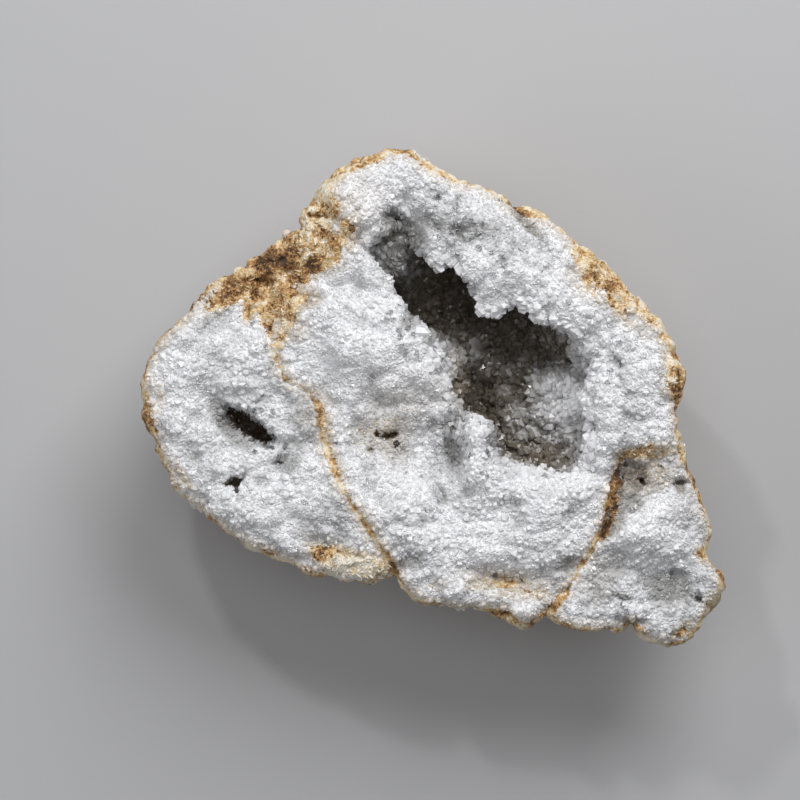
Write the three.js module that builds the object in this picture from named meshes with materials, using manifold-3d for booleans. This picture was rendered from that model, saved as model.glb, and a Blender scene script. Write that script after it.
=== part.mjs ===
// A broken quartz geode: three nodules of white quartz grown together under one tan skin,
// with a deep hollow and a small pocket, both lined by crystals.
// It lies on its rounded back, with the broken face up.
// Millimetres. +Z is up. Seen from above, +X is to the right and +Y points away.
// The origin is the middle of the flat spot that the stone rests on.
import * as THREE from "three";
import { mergeVertices } from "three/addons/utils/BufferGeometryUtils.js";
import Module from "manifold-3d";

const wasm = await Module();
wasm.setup();

// Driving dimensions
const FACE_HEIGHT = 41; // the broken face above the resting spot
const EDGE_DROP = 4; // how far the face rolls down to the widest line of the stone
const EDGE_WIDTH = 5; // over this width, measured in from the outline
const FACE_LUMP = { height: 1.4, size: 9 };
const BACK_LUMP = { height: 1.6, size: 12 };
const BACK_BELOW_REST = 1.6; // how much of the main nodule's round bottom the flat spot takes off
const BACK_FULLNESS = 2.2; // 2 makes the back's cross section an ellipse, more makes it boxier

const HOLLOW_CENTRE = [7.8, 12.0];
const CHAMBER = { long: 38, roofSide: 22, bankSide: 16, turn: -42 }; // the hollow at its widest
const CHAMBER_HEIGHT = 26; // the height of that widest line
const HOLLOW_FLOOR = 13;
const FLOOR_RISE = 0.32; // the floor climbs towards its lower right end by this much a millimetre
const CHAMBER_AT = 0.35; // the share of the wall, from the mouth, where the hollow is widest
const LIP = 0.2; // the share over which the ragged mouth opens out into the even chamber
const MOUTH_WIDTH = 7; // over this width round the mouth the face rolls down into the hollow
// How far it rolls down, by the angle in degrees: little at the roof, most at the lower right.
const MOUTH_ROLL = [[0, 1.5], [30, 1], [105, 1], [140, 3.5], [215, 4], [265, 2], [300, 5.5], [335, 5], [360, 1.5]];

const CRUST = { gap: 1.0, thickness: 2.4, lump: 2.0, lumpSize: 8 };
const HOLLOW_CRYSTAL = { radius: 2.3, length: 4.4, spacing: 14 };
const FACE_CRYSTAL = { radius: 2.3, length: 2.6, spacing: 34 };
const MOUTH_GIRTH = 130;
const OUTLINE_GIRTH = 330;

const POCKET = { centre: [-44.2, -5.3], turn: -28, long: 7.6, short: 3.9, depth: 11 };
const POCKET_CRUST = { gap: 0.5, thickness: 0.9 };
const POCKET_CRYSTAL = { radius: 0.9, length: 1.6 };

const PITS = [
  { at: [-46.4, -17.1], radius: 1.2, depth: 5 },
  { at: [-13.1, -7.1], radius: 1.1, depth: 5 },
];
const SEAM_WIDTH = 2.6;
const BACK_GROOVE = { depth: 3.0, width: 7 };

// The stone's outline from above, anticlockwise from the right. The notches between the
// nodules are at (-32, 39), (-11, -37), (22, -47) and (41, -49).
const OUTLINE = [
  [52.4, 8.9], [49.3, 15.8], [45.1, 20.9], [39.3, 26.4], [34.0, 32.0], [27.8, 36.9], [23.3, 40.8],
  [20.9, 42.6], [16.6, 43.7], [13.1, 45.7], [8.7, 48.0], [3.6, 49.5], [-0.4, 51.3], [-4.7, 53.5],
  [-8.4, 56.2], [-12.7, 56.6], [-17.8, 55.3], [-22.6, 52.8], [-25.3, 50.0], [-28.2, 47.1],
  [-31.5, 42.2], [-32.4, 38.9], [-37.7, 35.5], [-45.1, 30.6], [-52.2, 26.0], [-55.9, 22.2],
  [-58.2, 19.1], [-62.2, 15.5], [-65.7, 10.0], [-67.7, 4.0], [-67.0, -2.9], [-64.8, -8.4],
  [-61.7, -14.7], [-60.2, -18.4], [-55.1, -23.1], [-48.8, -28.2], [-41.5, -32.6], [-32.6, -36.2],
  [-27.5, -38.2], [-26.4, -37.3], [-21.3, -39.5], [-13.1, -38.6], [-11.3, -37.3], [-9.5, -40.8],
  [-5.5, -43.7], [0.9, -44.8], [7.5, -45.7], [12.9, -47.5], [17.3, -49.5], [20.2, -48.6],
  [22.0, -47.3], [27.5, -49.5], [34.0, -50.4], [38.9, -50.6], [41.5, -49.1], [44.6, -52.4],
  [49.5, -53.9], [53.7, -52.8], [56.2, -50.4], [58.6, -46.0], [61.9, -42.2], [61.7, -38.4],
  [58.6, -33.7], [58.8, -30.4], [59.5, -28.2], [57.5, -22.6], [54.2, -14.4], [52.4, -9.1],
  [51.5, -1.8], [53.5, 5.8],
];

// The hollow's ragged mouth in the broken face.
const MOUTH = [
  [32.2, 9.3], [28.9, 13.1], [24.6, 17.8], [20.4, 19.1], [18.9, 21.8], [14.4, 22.2], [10.7, 19.5],
  [7.8, 20.0], [5.1, 24.4], [2.9, 28.2], [1.6, 31.1], [-2.0, 30.2], [-5.1, 34.2], [-8.2, 39.1],
  [-11.8, 40.4], [-14.9, 38.2], [-17.5, 34.2], [-14.9, 31.1], [-11.8, 27.5], [-9.5, 23.5],
  [-8.2, 19.1], [-4.7, 16.4], [-2.4, 13.1], [0.0, 9.3], [0.4, 4.2], [1.8, 0.4], [0.7, -4.7],
  [3.8, -5.8], [5.5, -3.6], [9.3, -3.6], [10.7, -9.1], [13.3, -12.9], [18.9, -14.2], [23.8, -15.1],
  [28.9, -15.5], [31.3, -12.9], [32.2, -6.9], [31.7, -0.2], [33.1, 5.3],
];

// The seams where the left and the lower right nodule meet the middle one.
const LEFT_SEAM = [
  [-39.3, 18.2], [-38.0, 12.0], [-35.1, 5.3], [-30.0, 2.7], [-27.3, -2.4], [-26.0, -10.2],
  [-22.2, -19.8], [-17.8, -26.2], [-13.5, -32.9], [-11.1, -38.6],
];
const RIGHT_SEAM = [
  [53.1, -10.7], [45.5, -9.8], [38.9, -12.0], [38.2, -15.8], [36.2, -22.4], [34.4, -28.0],
  [31.1, -34.6], [26.9, -41.3], [23.3, -46.2], [22.2, -48.4],
];

// Swells and basins of the broken face: centre, half sizes, turn in degrees, height.
const RELIEF = [
  { at: [-18.9, 44.2], size: [7, 10], turn: 0, height: 3.0 }, // knob left of the top cleft
  { at: [14.4, 30.9], size: [14, 7], turn: -35, height: 3.0 }, // roof over the hollow
  { at: [43.3, 5.3], size: [11, 16], turn: 0, height: 2.0 }, // right shoulder
  { at: [-13.3, 13.1], size: [13, 10], turn: -30, height: 3.5 }, // bank left of the hollow
  { at: [-15.5, -22.4], size: [16, 8], turn: -35, height: 3.0 }, // lower left bank
  { at: [25.5, -23.5], size: [15, 8], turn: 0, height: 3.0 }, // lower right bank
  { at: [43.3, -28.0], size: [9, 7], turn: 35, height: 3.0 }, // top of the small nodule
  { at: [-53.3, 7.5], size: [11, 9], turn: 35, height: 1.5 }, // top of the left nodule
  { at: [-41.0, -21.3], size: [13, 8], turn: -30, height: 1.5 }, // foot of the left nodule
  { at: [8.2, -10.2], size: [5, 7], turn: 0, height: 3.0 }, // column at the hollow's lower edge
  { at: [-8.9, -9.1], size: [12, 8], turn: -20, height: -4.0 }, // basin in the middle
  { at: [-1.5, -11.3], size: [6, 6], turn: 0, height: -3.0 }, // recess beside the column
  { at: [14.0, -23.5], size: [5, 5], turn: 0, height: -2.5 }, // dimple below the column
  { at: [-10.0, 44.2], size: [4, 7], turn: 25, height: -3.5 }, // cleft above the hollow
  { at: [-41.0, 25.3], size: [14, 7], turn: 35, height: -4.0 }, // rough slope at the upper left
  { at: [50.0, -38.0], size: [6, 8], turn: 0, height: -3.0 }, // dip in the small nodule
  { at: [14.4, -39.0], size: [14, 5], turn: -10, height: -3.0 }, // rough lower edge
  { at: [-43.3, -5.3], size: [11, 4.5], turn: -28, height: -2.0 }, // dip round the pocket
];

// The two smaller nodules: where they lie, how much lower their face is, and how high
// their rounded back stays above the resting spot.
const NODULES = [
  { at: [-50.0, -5.8], size: [25, 33], turn: 15, face: -2.5, back: 13 },
  { at: [47.0, -33.5], size: [18, 22], turn: 20, face: -4.0, back: 10 },
];

const ROUND = 76; // points round each ring of the stone
const degrees = THREE.MathUtils.degToRad;
const { lerp, smoothstep, clamp } = THREE.MathUtils;

// A repeatable number from 0 to 1 for a lattice cell.
function chance(i, j, k) {
  const value = Math.sin(i * 127.1 + j * 311.7 + k * 74.7) * 43758.5453;
  return value - Math.floor(value);
}

// Round-topped lumps of one cell size, from 0 between them to 1 on the tallest.
function lumps(x, y, size, kind) {
  const column = Math.floor(x / size);
  const row = Math.floor(y / size);
  let best = 0;
  for (let i = column - 1; i <= column + 1; i++) {
    for (let j = row - 1; j <= row + 1; j++) {
      const across = x / size - i - lerp(0.15, 0.85, chance(i, j, kind));
      const along = y / size - j - lerp(0.15, 0.85, chance(i, j, kind + 1));
      const reach = lerp(0.5, 0.85, chance(i, j, kind + 2));
      best = Math.max(best, 1 - (across * across + along * along) / (reach * reach));
    }
  }
  return best;
}

// Squared distance from a centre, counted in half sizes along turned axes.
function spread(x, y, { at, size, turn }) {
  const c = Math.cos(degrees(turn));
  const s = Math.sin(degrees(turn));
  const u = ((x - at[0]) * c + (y - at[1]) * s) / size[0];
  const v = ((y - at[1]) * c - (x - at[0]) * s) / size[1];
  return u * u + v * v;
}

// How much a point belongs to a smaller nodule, from 0 to 1.
const belongs = (x, y, nodule, near = 0.8, far = 1.3) =>
  1 - smoothstep(Math.sqrt(spread(x, y, nodule)), near, far);

// A closed line through hand-placed points, as its distance from the hollow's centre by angle.
function radiusByAngle(points) {
  const corners = points.map(([x, y]) => new THREE.Vector3(x, y, 0));
  const line = new THREE.CatmullRomCurve3(corners, true, "centripetal").getPoints(points.length * 12);
  const [cx, cy] = HOLLOW_CENTRE;
  const polar = line.slice(0, -1).map((p) => ({
    angle: (Math.atan2(p.y - cy, p.x - cx) + 2 * Math.PI) % (2 * Math.PI),
    radius: Math.hypot(p.x - cx, p.y - cy),
  }));
  polar.sort((a, b) => a.angle - b.angle);
  return (angle) => {
    const turn = ((angle % (2 * Math.PI)) + 2 * Math.PI) % (2 * Math.PI);
    let after = polar.findIndex((p) => p.angle > turn);
    if (after < 0) after = polar.length;
    const b = polar[after % polar.length];
    const a = polar[(after - 1 + polar.length) % polar.length];
    const span = (b.angle - a.angle + 2 * Math.PI) % (2 * Math.PI);
    const gone = (turn - a.angle + 2 * Math.PI) % (2 * Math.PI);
    return lerp(a.radius, b.radius, span > 0 ? gone / span : 0);
  };
}
const outlineRadius = radiusByAngle(OUTLINE);
const mouthRadius = radiusByAngle(MOUTH);

function chamberRadius(angle) {
  const off = angle - degrees(CHAMBER.turn);
  const short = Math.sin(off) > 0 ? CHAMBER.roofSide : CHAMBER.bankSide;
  const ellipse = 1 / Math.hypot(Math.cos(off) / CHAMBER.long, Math.sin(off) / short);
  return Math.max(ellipse, mouthRadius(angle) + 1);
}

// Angles that share out the length of the outline and of the mouth evenly.
function evenAngles(count) {
  const fine = 1440;
  const reach = [0];
  for (let i = 1; i <= fine; i++) {
    let step = 0;
    for (const radius of [outlineRadius, mouthRadius]) {
      const [a, b] = [i - 1, i].map((k) => (k / fine) * 2 * Math.PI);
      const [ra, rb] = [radius(a), radius(b)];
      const gap = Math.sqrt(ra * ra + rb * rb - 2 * ra * rb * Math.cos(b - a));
      step += radius === mouthRadius ? gap : gap * 1.6;
    }
    reach.push(reach[i - 1] + step);
  }
  const angles = [];
  for (let n = 0, i = 0; n < count; n++) {
    const wanted = (n / count) * reach[fine];
    while (reach[i + 1] < wanted) i++;
    angles.push(((i + (wanted - reach[i]) / (reach[i + 1] - reach[i])) / fine) * 2 * Math.PI);
  }
  return angles;
}

// Height of the broken face, before it rolls over at the outline.
function faceHeight(x, y) {
  let z = FACE_HEIGHT + FACE_LUMP.height * lumps(x, y, FACE_LUMP.size, 1);
  for (const swell of RELIEF) z += swell.height * Math.exp(-spread(x, y, swell));
  for (const nodule of NODULES) z += nodule.face * belongs(x, y, nodule);
  return z;
}

const around = (angle, radius) => [
  HOLLOW_CENTRE[0] + radius * Math.cos(angle),
  HOLLOW_CENTRE[1] + radius * Math.sin(angle),
];

// How far the face rolls down at the mouth, at an angle.
function mouthRoll(angle) {
  const turn = (((angle * 180) / Math.PI) % 360 + 360) % 360;
  const after = MOUTH_ROLL.findIndex(([at]) => at > turn);
  const [[a, low], [b, high]] = [MOUTH_ROLL[after - 1], MOUTH_ROLL[after]];
  return lerp(low, high, (turn - a) / (b - a));
}

// A point of the face at a share of the way from the mouth to the outline.
function facePoint(angle, share) {
  const [mouth, edge] = [mouthRadius(angle), outlineRadius(angle)];
  const [x, y] = around(angle, lerp(mouth, edge, share));
  const nearEdge = 1 - clamp(((1 - share) * (edge - mouth)) / EDGE_WIDTH, 0, 1);
  const nearMouth = 1 - clamp((share * (edge - mouth)) / MOUTH_WIDTH, 0, 1);
  const drop = EDGE_DROP * nearEdge ** 2 + mouthRoll(angle) * nearMouth ** 2;
  return new THREE.Vector3(x, y, faceHeight(x, y) - drop);
}

// Distance in plan from a point to a line of points.
function distanceTo(x, y, line) {
  const segment = new THREE.Line3();
  const point = new THREE.Vector3(x, y, 0);
  const nearest = new THREE.Vector3();
  let best = Infinity;
  for (let i = 1; i < line.length; i++) {
    segment.start.set(...line[i - 1], 0);
    segment.end.set(...line[i], 0);
    segment.closestPointToPoint(point, true, nearest);
    best = Math.min(best, nearest.distanceTo(point));
  }
  return best;
}

// A point of the rounded back at a share of the way from the resting spot to the outline.
function backPoint(angle, share) {
  const edge = facePoint(angle, 1);
  const [x, y] = [edge.x * share, edge.y * share];
  let bottom = -BACK_BELOW_REST;
  for (const nodule of NODULES) bottom = lerp(bottom, nodule.back, belongs(x, y, nodule, 0.55, 1.55));
  const inner = 1 - share ** 8;
  let z = edge.z - (edge.z - bottom) * Math.sqrt(1 - share ** BACK_FULLNESS);
  z -= BACK_LUMP.height * (lumps(x, y, BACK_LUMP.size, 5) - 0.5) * inner;
  for (const seam of [LEFT_SEAM, RIGHT_SEAM]) {
    z += BACK_GROOVE.depth * Math.exp(-((distanceTo(x, y, seam) / BACK_GROOVE.width) ** 2)) * inner;
  }
  return new THREE.Vector3(x, y, Math.max(z, 0));
}

// A point of the hollow's wall, from 0 at the mouth to 1 at the middle of the floor.
function hollowPoint(angle, share) {
  const mouth = facePoint(angle, 0);
  const widest = chamberRadius(angle);
  let radius, z;
  if (share < CHAMBER_AT) {
    const down = share / CHAMBER_AT;
    radius = lerp(mouthRadius(angle), widest, smoothstep(share, 0, LIP));
    z = lerp(mouth.z, CHAMBER_HEIGHT, down);
  } else {
    const turn = ((share - CHAMBER_AT) / (1 - CHAMBER_AT)) * (Math.PI / 2);
    radius = widest * Math.cos(turn);
    z = lerp(CHAMBER_HEIGHT, HOLLOW_FLOOR, Math.sin(turn));
  }
  const [x, y] = around(angle, radius);
  const along = degrees(CHAMBER.turn);
  const climb = (x - HOLLOW_CENTRE[0]) * Math.cos(along) + (y - HOLLOW_CENTRE[1]) * Math.sin(along);
  z += FLOOR_RISE * Math.max(0, climb) * smoothstep(share, CHAMBER_AT, 1);
  return new THREE.Vector3(x, y, z);
}

// The way that points from the hollow's wall into the hollow: level at the wall and up at the floor.
function hollowInward(angle, share) {
  const turn = clamp((share - CHAMBER_AT) / (1 - CHAMBER_AT), 0, 1) * (Math.PI / 2);
  const level = -Math.cos(turn);
  return new THREE.Vector3(level * Math.cos(angle), level * Math.sin(angle), Math.sin(turn));
}
const insideHollow = (angle, share, depth) =>
  hollowPoint(angle, share).addScaledVector(hollowInward(angle, share), depth);

// A closed body from rings of equal count, the first and the last ring being one point each.
function closedSkin(rings) {
  const points = [];
  const starts = rings.map((ring) => points.push(...ring) - ring.length);
  const faces = [];
  for (let r = 1; r < rings.length; r++) {
    const count = Math.max(rings[r - 1].length, rings[r].length);
    const at = (ring, n) => starts[ring] + (rings[ring].length === 1 ? 0 : n % count);
    for (let n = 0; n < count; n++) {
      const [a, b, c, d] = [at(r - 1, n), at(r - 1, n + 1), at(r, n + 1), at(r, n)];
      if (a !== b) faces.push([a, b, c]);
      if (c !== d) faces.push([a, c, d]);
    }
  }
  const geometry = new THREE.BufferGeometry().setFromPoints(points);
  let volume = 0;
  for (const [a, b, c] of faces) {
    volume += points[a].dot(new THREE.Vector3().crossVectors(points[b], points[c]));
  }
  geometry.setIndex(faces.flatMap(([a, b, c]) => (volume > 0 ? [a, b, c] : [a, c, b])));
  return geometry;
}

function toSolid(geometry) {
  const plain = geometry.clone();
  plain.deleteAttribute("normal");
  plain.deleteAttribute("uv");
  const merged = mergeVertices(plain, 1e-4);
  const mesh = new wasm.Mesh({
    numProp: 3,
    vertProperties: new Float32Array(merged.attributes.position.array),
    triVerts: new Uint32Array(merged.index.array),
  });
  return new wasm.Manifold(mesh);
}

function toGeometry(solid) {
  const { vertProperties, triVerts } = solid.getMesh();
  const geometry = new THREE.BufferGeometry();
  geometry.setAttribute("position", new THREE.BufferAttribute(vertProperties, 3));
  geometry.setIndex(new THREE.BufferAttribute(triVerts, 1));
  return geometry;
}

// A quartz point that stands on a place of a surface: six flat faces that meet in a tip, on a
// root of six more that is sunk in the surface.
function quartzPoint(foot, way, radius, length, spin) {
  const profile = [
    [0, -0.5 * length],
    [radius, 0.1 * length],
    [0, length],
  ].map(([x, y]) => new THREE.Vector2(x, y));
  const point = new THREE.LatheGeometry(profile, 6);
  point.rotateY(spin);
  const turn = new THREE.Quaternion().setFromUnitVectors(new THREE.Vector3(0, 1, 0), way);
  point.applyQuaternion(turn).translate(foot.x, foot.y, foot.z);
  return toSolid(point);
}

// A direction leaning away from another by up to a share of its length.
function leaning(way, lean, seed) {
  const aside = [0, 1, 2].map((k) => (chance(seed, 17, k) * 2 - 1) * lean);
  return way.clone().add(new THREE.Vector3(...aside)).normalize();
}

// Quartz points of mixed size, one at each place.
function crystalsAt(places, { radius, length }) {
  return places.map(({ foot, way }, n) => {
    const grow = lerp(0.7, 1.35, chance(n, 3, 9));
    const spin = chance(n, 5, 9) * Math.PI;
    return quartzPoint(foot, leaning(way, 0.45, n), radius * grow, length * grow, spin);
  });
}

// Places about one spacing apart on rings of the hollow's inner wall.
function hollowPlaces() {
  const places = [];
  const steps = 64;
  for (const share of [0.24, 0.36, 0.5, 0.64, 0.78, 0.9]) {
    let girth = 0;
    for (let k = 0; k < steps; k++) {
      const [a, b] = [k, k + 1].map((m) => insideHollow((m / steps) * 2 * Math.PI, share, CRUST.thickness));
      girth += a.distanceTo(b);
    }
    const count = Math.max(3, Math.round(girth / HOLLOW_CRYSTAL.spacing));
    for (let n = 0; n < count; n++) {
      const angle = ((n + 0.6 * chance(n, share * 100, 4)) / count) * 2 * Math.PI;
      const at = share + 0.05 * (chance(n, share * 100, 6) - 0.5);
      places.push({
        foot: insideHollow(angle, at, crustDepth(angle, at) - 0.2),
        way: hollowInward(angle, at),
      });
    }
  }
  return places;
}

// Places on the broken face, in rings from the mouth outwards.
function facePlaces() {
  const places = [];
  for (const share of [0.12, 0.3, 0.5, 0.7]) {
    const girth = lerp(MOUTH_GIRTH, OUTLINE_GIRTH, share);
    const count = Math.round(girth / FACE_CRYSTAL.spacing);
    for (let n = 0; n < count; n++) {
      const angle = ((n + 0.7 * chance(n, share * 10, 8)) / count) * 2 * Math.PI;
      const foot = facePoint(angle, share + 0.08 * (chance(n, share * 10, 2) - 0.5));
      places.push({ foot, way: new THREE.Vector3(0, 0, 1) });
    }
  }
  return places;
}

// How deep the crust's inner side lies inside the hollow's wall.
function crustDepth(angle, share) {
  const point = hollowPoint(angle, share);
  const lump = lumps(point.x + 0.6 * point.z, point.y - 0.8 * point.z, CRUST.lumpSize, 11);
  return CRUST.gap + CRUST.thickness + CRUST.lump * lump * smoothstep(share, 0.15, 0.35);
}

// The crust takes every second angle of the stone's wall, so that its flats stay clear of it.
const STONE_ANGLES = evenAngles(ROUND);
const CRUST_ANGLES = STONE_ANGLES.filter((_, n) => n % 2 === 0);
const WALL_SHARES = [0.85, 0.66, 0.48, 0.35, 0.17];
const UNDER_LIP = 0.06; // the stone alone has one more ring here, close under the mouth

// The stone as one skin: up the hollow's wall, over the face, and round the back.
function stoneBody() {
  const rings = [[hollowPoint(0, 1)]];
  for (const share of [...WALL_SHARES, UNDER_LIP]) {
    rings.push(STONE_ANGLES.map((angle) => hollowPoint(angle, share)));
  }
  for (const share of [0, 0.12, 0.26, 0.4, 0.54, 0.68, 0.81, 0.91, 0.965, 1]) {
    rings.push(STONE_ANGLES.map((angle) => facePoint(angle, share)));
  }
  for (const share of [0.985, 0.94, 0.85, 0.74, 0.62, 0.5, 0.38, 0.25]) {
    rings.push(STONE_ANGLES.map((angle) => backPoint(angle, share)));
  }
  rings.push([new THREE.Vector3(0, 0, 0)]);
  return toSolid(closedSkin(rings));
}

// A rough groove that follows a seam over the broken face.
function seamCutter(line) {
  const path = new THREE.CatmullRomCurve3(
    line.map(([x, y]) => new THREE.Vector3(x, y, faceHeight(x, y) + 0.5)),
  );
  const section = new THREE.Shape();
  for (let n = 0; n < 5; n++) {
    const turn = (n / 5) * 2 * Math.PI;
    section[n ? "lineTo" : "moveTo"]((SEAM_WIDTH / 2) * Math.cos(turn), (SEAM_WIDTH / 2) * Math.sin(turn));
  }
  section.closePath();
  const groove = new THREE.ExtrudeGeometry(section, { steps: 14, extrudePath: path });
  return toSolid(groove);
}

// A narrow pit: a six-sided cone with its tip down.
function pitCutter({ at, radius, depth }) {
  const cone = new THREE.ConeGeometry(radius * 2, depth * 2, 7);
  cone.rotateX(-Math.PI / 2);
  cone.translate(at[0], at[1], faceHeight(...at));
  return toSolid(cone);
}

// The left nodule's pocket, grown or shrunk by an amount, up to a height above the face there.
function pocketBowl(shrink, above) {
  const top = faceHeight(...POCKET.centre);
  const sizes = [
    [0, -POCKET.depth + shrink],
    [0.55, -POCKET.depth * 0.88 + shrink],
    [0.98, -POCKET.depth * 0.5],
    [1, -POCKET.depth * 0.22],
    [0.85, above],
    [0, above],
  ];
  const count = 14;
  const turn = degrees(POCKET.turn);
  const rings = sizes.map(([share, z]) => {
    const points = [];
    for (let n = 0; n < (share ? count : 1); n++) {
      const angle = (n / count) * 2 * Math.PI;
      const u = share && (POCKET.long - shrink) * share * Math.cos(angle);
      const v = share && (POCKET.short - shrink) * share * Math.sin(angle);
      points.push(
        new THREE.Vector3(
          POCKET.centre[0] + u * Math.cos(turn) - v * Math.sin(turn),
          POCKET.centre[1] + u * Math.sin(turn) + v * Math.cos(turn),
          top + z,
        ),
      );
    }
    return points;
  });
  return toSolid(closedSkin(rings));
}

// Places on the pocket's inner wall.
function pocketPlaces() {
  const places = [];
  const inset = POCKET_CRUST.gap + POCKET_CRUST.thickness;
  const turn = degrees(POCKET.turn);
  for (const [row, drop] of [0.35, 0.62].entries()) {
    for (let n = 0; n < 7; n++) {
      const angle = ((n + 0.5 * row + 0.3 * chance(n, row, 21)) / 7) * 2 * Math.PI;
      const reach = row ? 0.86 : 0.97;
      const u = (POCKET.long - inset) * reach * Math.cos(angle);
      const v = (POCKET.short - inset) * reach * Math.sin(angle);
      const away = new THREE.Vector3(
        u * Math.cos(turn) - v * Math.sin(turn),
        u * Math.sin(turn) + v * Math.cos(turn),
        0,
      );
      const foot = away.clone();
      foot.x += POCKET.centre[0];
      foot.y += POCKET.centre[1];
      foot.z = faceHeight(...POCKET.centre) - POCKET.depth * drop;
      places.push({ foot, way: away.negate().normalize().setZ(0.5).normalize() });
    }
  }
  return places;
}

function join(solids) {
  return solids.reduce((whole, next) => whole.add(next));
}

function makeStone() {
  const cutters = [seamCutter(LEFT_SEAM), seamCutter(RIGHT_SEAM), ...PITS.map(pitCutter)];
  const raised = join([stoneBody(), ...crystalsAt(facePlaces(), FACE_CRYSTAL)]);
  return cutters.reduce((left, cutter) => left.subtract(cutter), raised).subtract(pocketBowl(0, 8));
}

function makeHollowCrystals() {
  const outer = [[insideHollow(0, 1, CRUST.gap)]];
  for (const share of WALL_SHARES) {
    outer.push(CRUST_ANGLES.map((angle) => insideHollow(angle, share, CRUST.gap)));
  }
  const inner = [];
  for (const share of [0.19, 0.27, 0.36, 0.48, 0.6, 0.74, 0.88]) {
    inner.push(CRUST_ANGLES.map((angle) => insideHollow(angle, share, crustDepth(angle, share))));
  }
  inner.push([insideHollow(0, 1, crustDepth(0, 1))]);
  const crust = toSolid(closedSkin([...outer, ...inner]));
  const filled = toSolid(closedSkin([...outer, [new THREE.Vector3(...HOLLOW_CENTRE, FACE_HEIGHT - 5)]]));
  const points = join(crystalsAt(hollowPlaces(), HOLLOW_CRYSTAL)).intersect(filled);
  return crust.add(points);
}

function makePocketCrystals() {
  const { gap, thickness } = POCKET_CRUST;
  const outer = pocketBowl(gap, -2.5);
  const crust = outer.subtract(pocketBowl(gap + thickness, 2));
  const points = join(crystalsAt(pocketPlaces(), POCKET_CRYSTAL)).intersect(outer);
  return crust.add(points);
}

const geode = new THREE.Group();
function addPiece(name, solid, material) {
  const mesh = new THREE.Mesh(toGeometry(solid), material);
  mesh.name = name;
  geode.add(mesh);
}

const quartz = new THREE.MeshStandardMaterial({ color: 0xd9d6d1, roughness: 0.55, metalness: 0 });
const greyCrystal = new THREE.MeshStandardMaterial({ color: 0x9a9793, roughness: 0.3, metalness: 0 });
const paleCrystal = new THREE.MeshStandardMaterial({ color: 0xb9b7b3, roughness: 0.3, metalness: 0 });

addPiece("geode_stone", makeStone(), quartz);
addPiece("hollow_crystals", makeHollowCrystals(), greyCrystal);
addPiece("pocket_crystals", makePocketCrystals(), paleCrystal);

export default geode;
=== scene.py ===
# %% [markdown]
# # A broken quartz geode
#
# A geode is a ball of stone that grew quartz crystals on its inside. This one is three such balls,
# grown together under one tan skin and broken across. The broken face is white and sugary, because
# it is made of thousands of crystals a millimetre wide. In the middle a deep hollow was left open.
#
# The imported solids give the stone's box and what it rests on. This script dresses them: it works
# out the same form again on a fine grid, lays crystals on it, and gives each surface its finish.

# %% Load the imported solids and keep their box
import math

import bpy
import numpy as np
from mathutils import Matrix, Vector


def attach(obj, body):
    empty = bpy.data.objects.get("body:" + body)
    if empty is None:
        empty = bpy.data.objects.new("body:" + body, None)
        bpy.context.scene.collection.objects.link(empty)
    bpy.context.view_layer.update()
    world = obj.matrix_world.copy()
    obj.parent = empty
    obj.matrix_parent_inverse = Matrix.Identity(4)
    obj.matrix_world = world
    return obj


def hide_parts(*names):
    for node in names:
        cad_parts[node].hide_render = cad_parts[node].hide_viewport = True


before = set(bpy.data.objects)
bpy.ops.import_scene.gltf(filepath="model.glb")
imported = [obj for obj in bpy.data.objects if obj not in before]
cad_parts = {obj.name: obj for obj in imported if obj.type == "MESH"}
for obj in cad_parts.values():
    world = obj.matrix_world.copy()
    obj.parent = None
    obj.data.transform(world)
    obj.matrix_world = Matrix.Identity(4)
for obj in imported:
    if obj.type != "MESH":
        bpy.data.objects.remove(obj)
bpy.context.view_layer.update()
MM = 0.001  # lists and formulas below are in millimetres, meshes in metres
TURN = 2 * math.pi

# %% [markdown]
# ## The camera
#
# The photograph looks straight down on the broken face, from far off, so a long lens at a height
# of more than a metre gives the same flat view. The lens is chosen so that the picture takes in
# a square of a known width at the height of the face.

# %% Look straight down with a long lens
FACE_HEIGHT = 41.0
VIEW_WIDTH = 177.6
VIEW_CENTRE = (-10.0, 0.9)
CAMERA_ABOVE = 1500.0
SENSOR = 36.0

lens = bpy.data.cameras.new("lens")
lens.sensor_width = SENSOR
lens.lens = SENSOR * CAMERA_ABOVE / VIEW_WIDTH
lens.clip_end = 10
camera = bpy.data.objects.new("camera", lens)
camera.location = (VIEW_CENTRE[0] * MM, VIEW_CENTRE[1] * MM, (FACE_HEIGHT + CAMERA_ABOVE) * MM)
bpy.context.scene.collection.objects.link(camera)
bpy.context.scene.camera = camera
print("focal length in mm:", round(lens.lens, 1))
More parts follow.
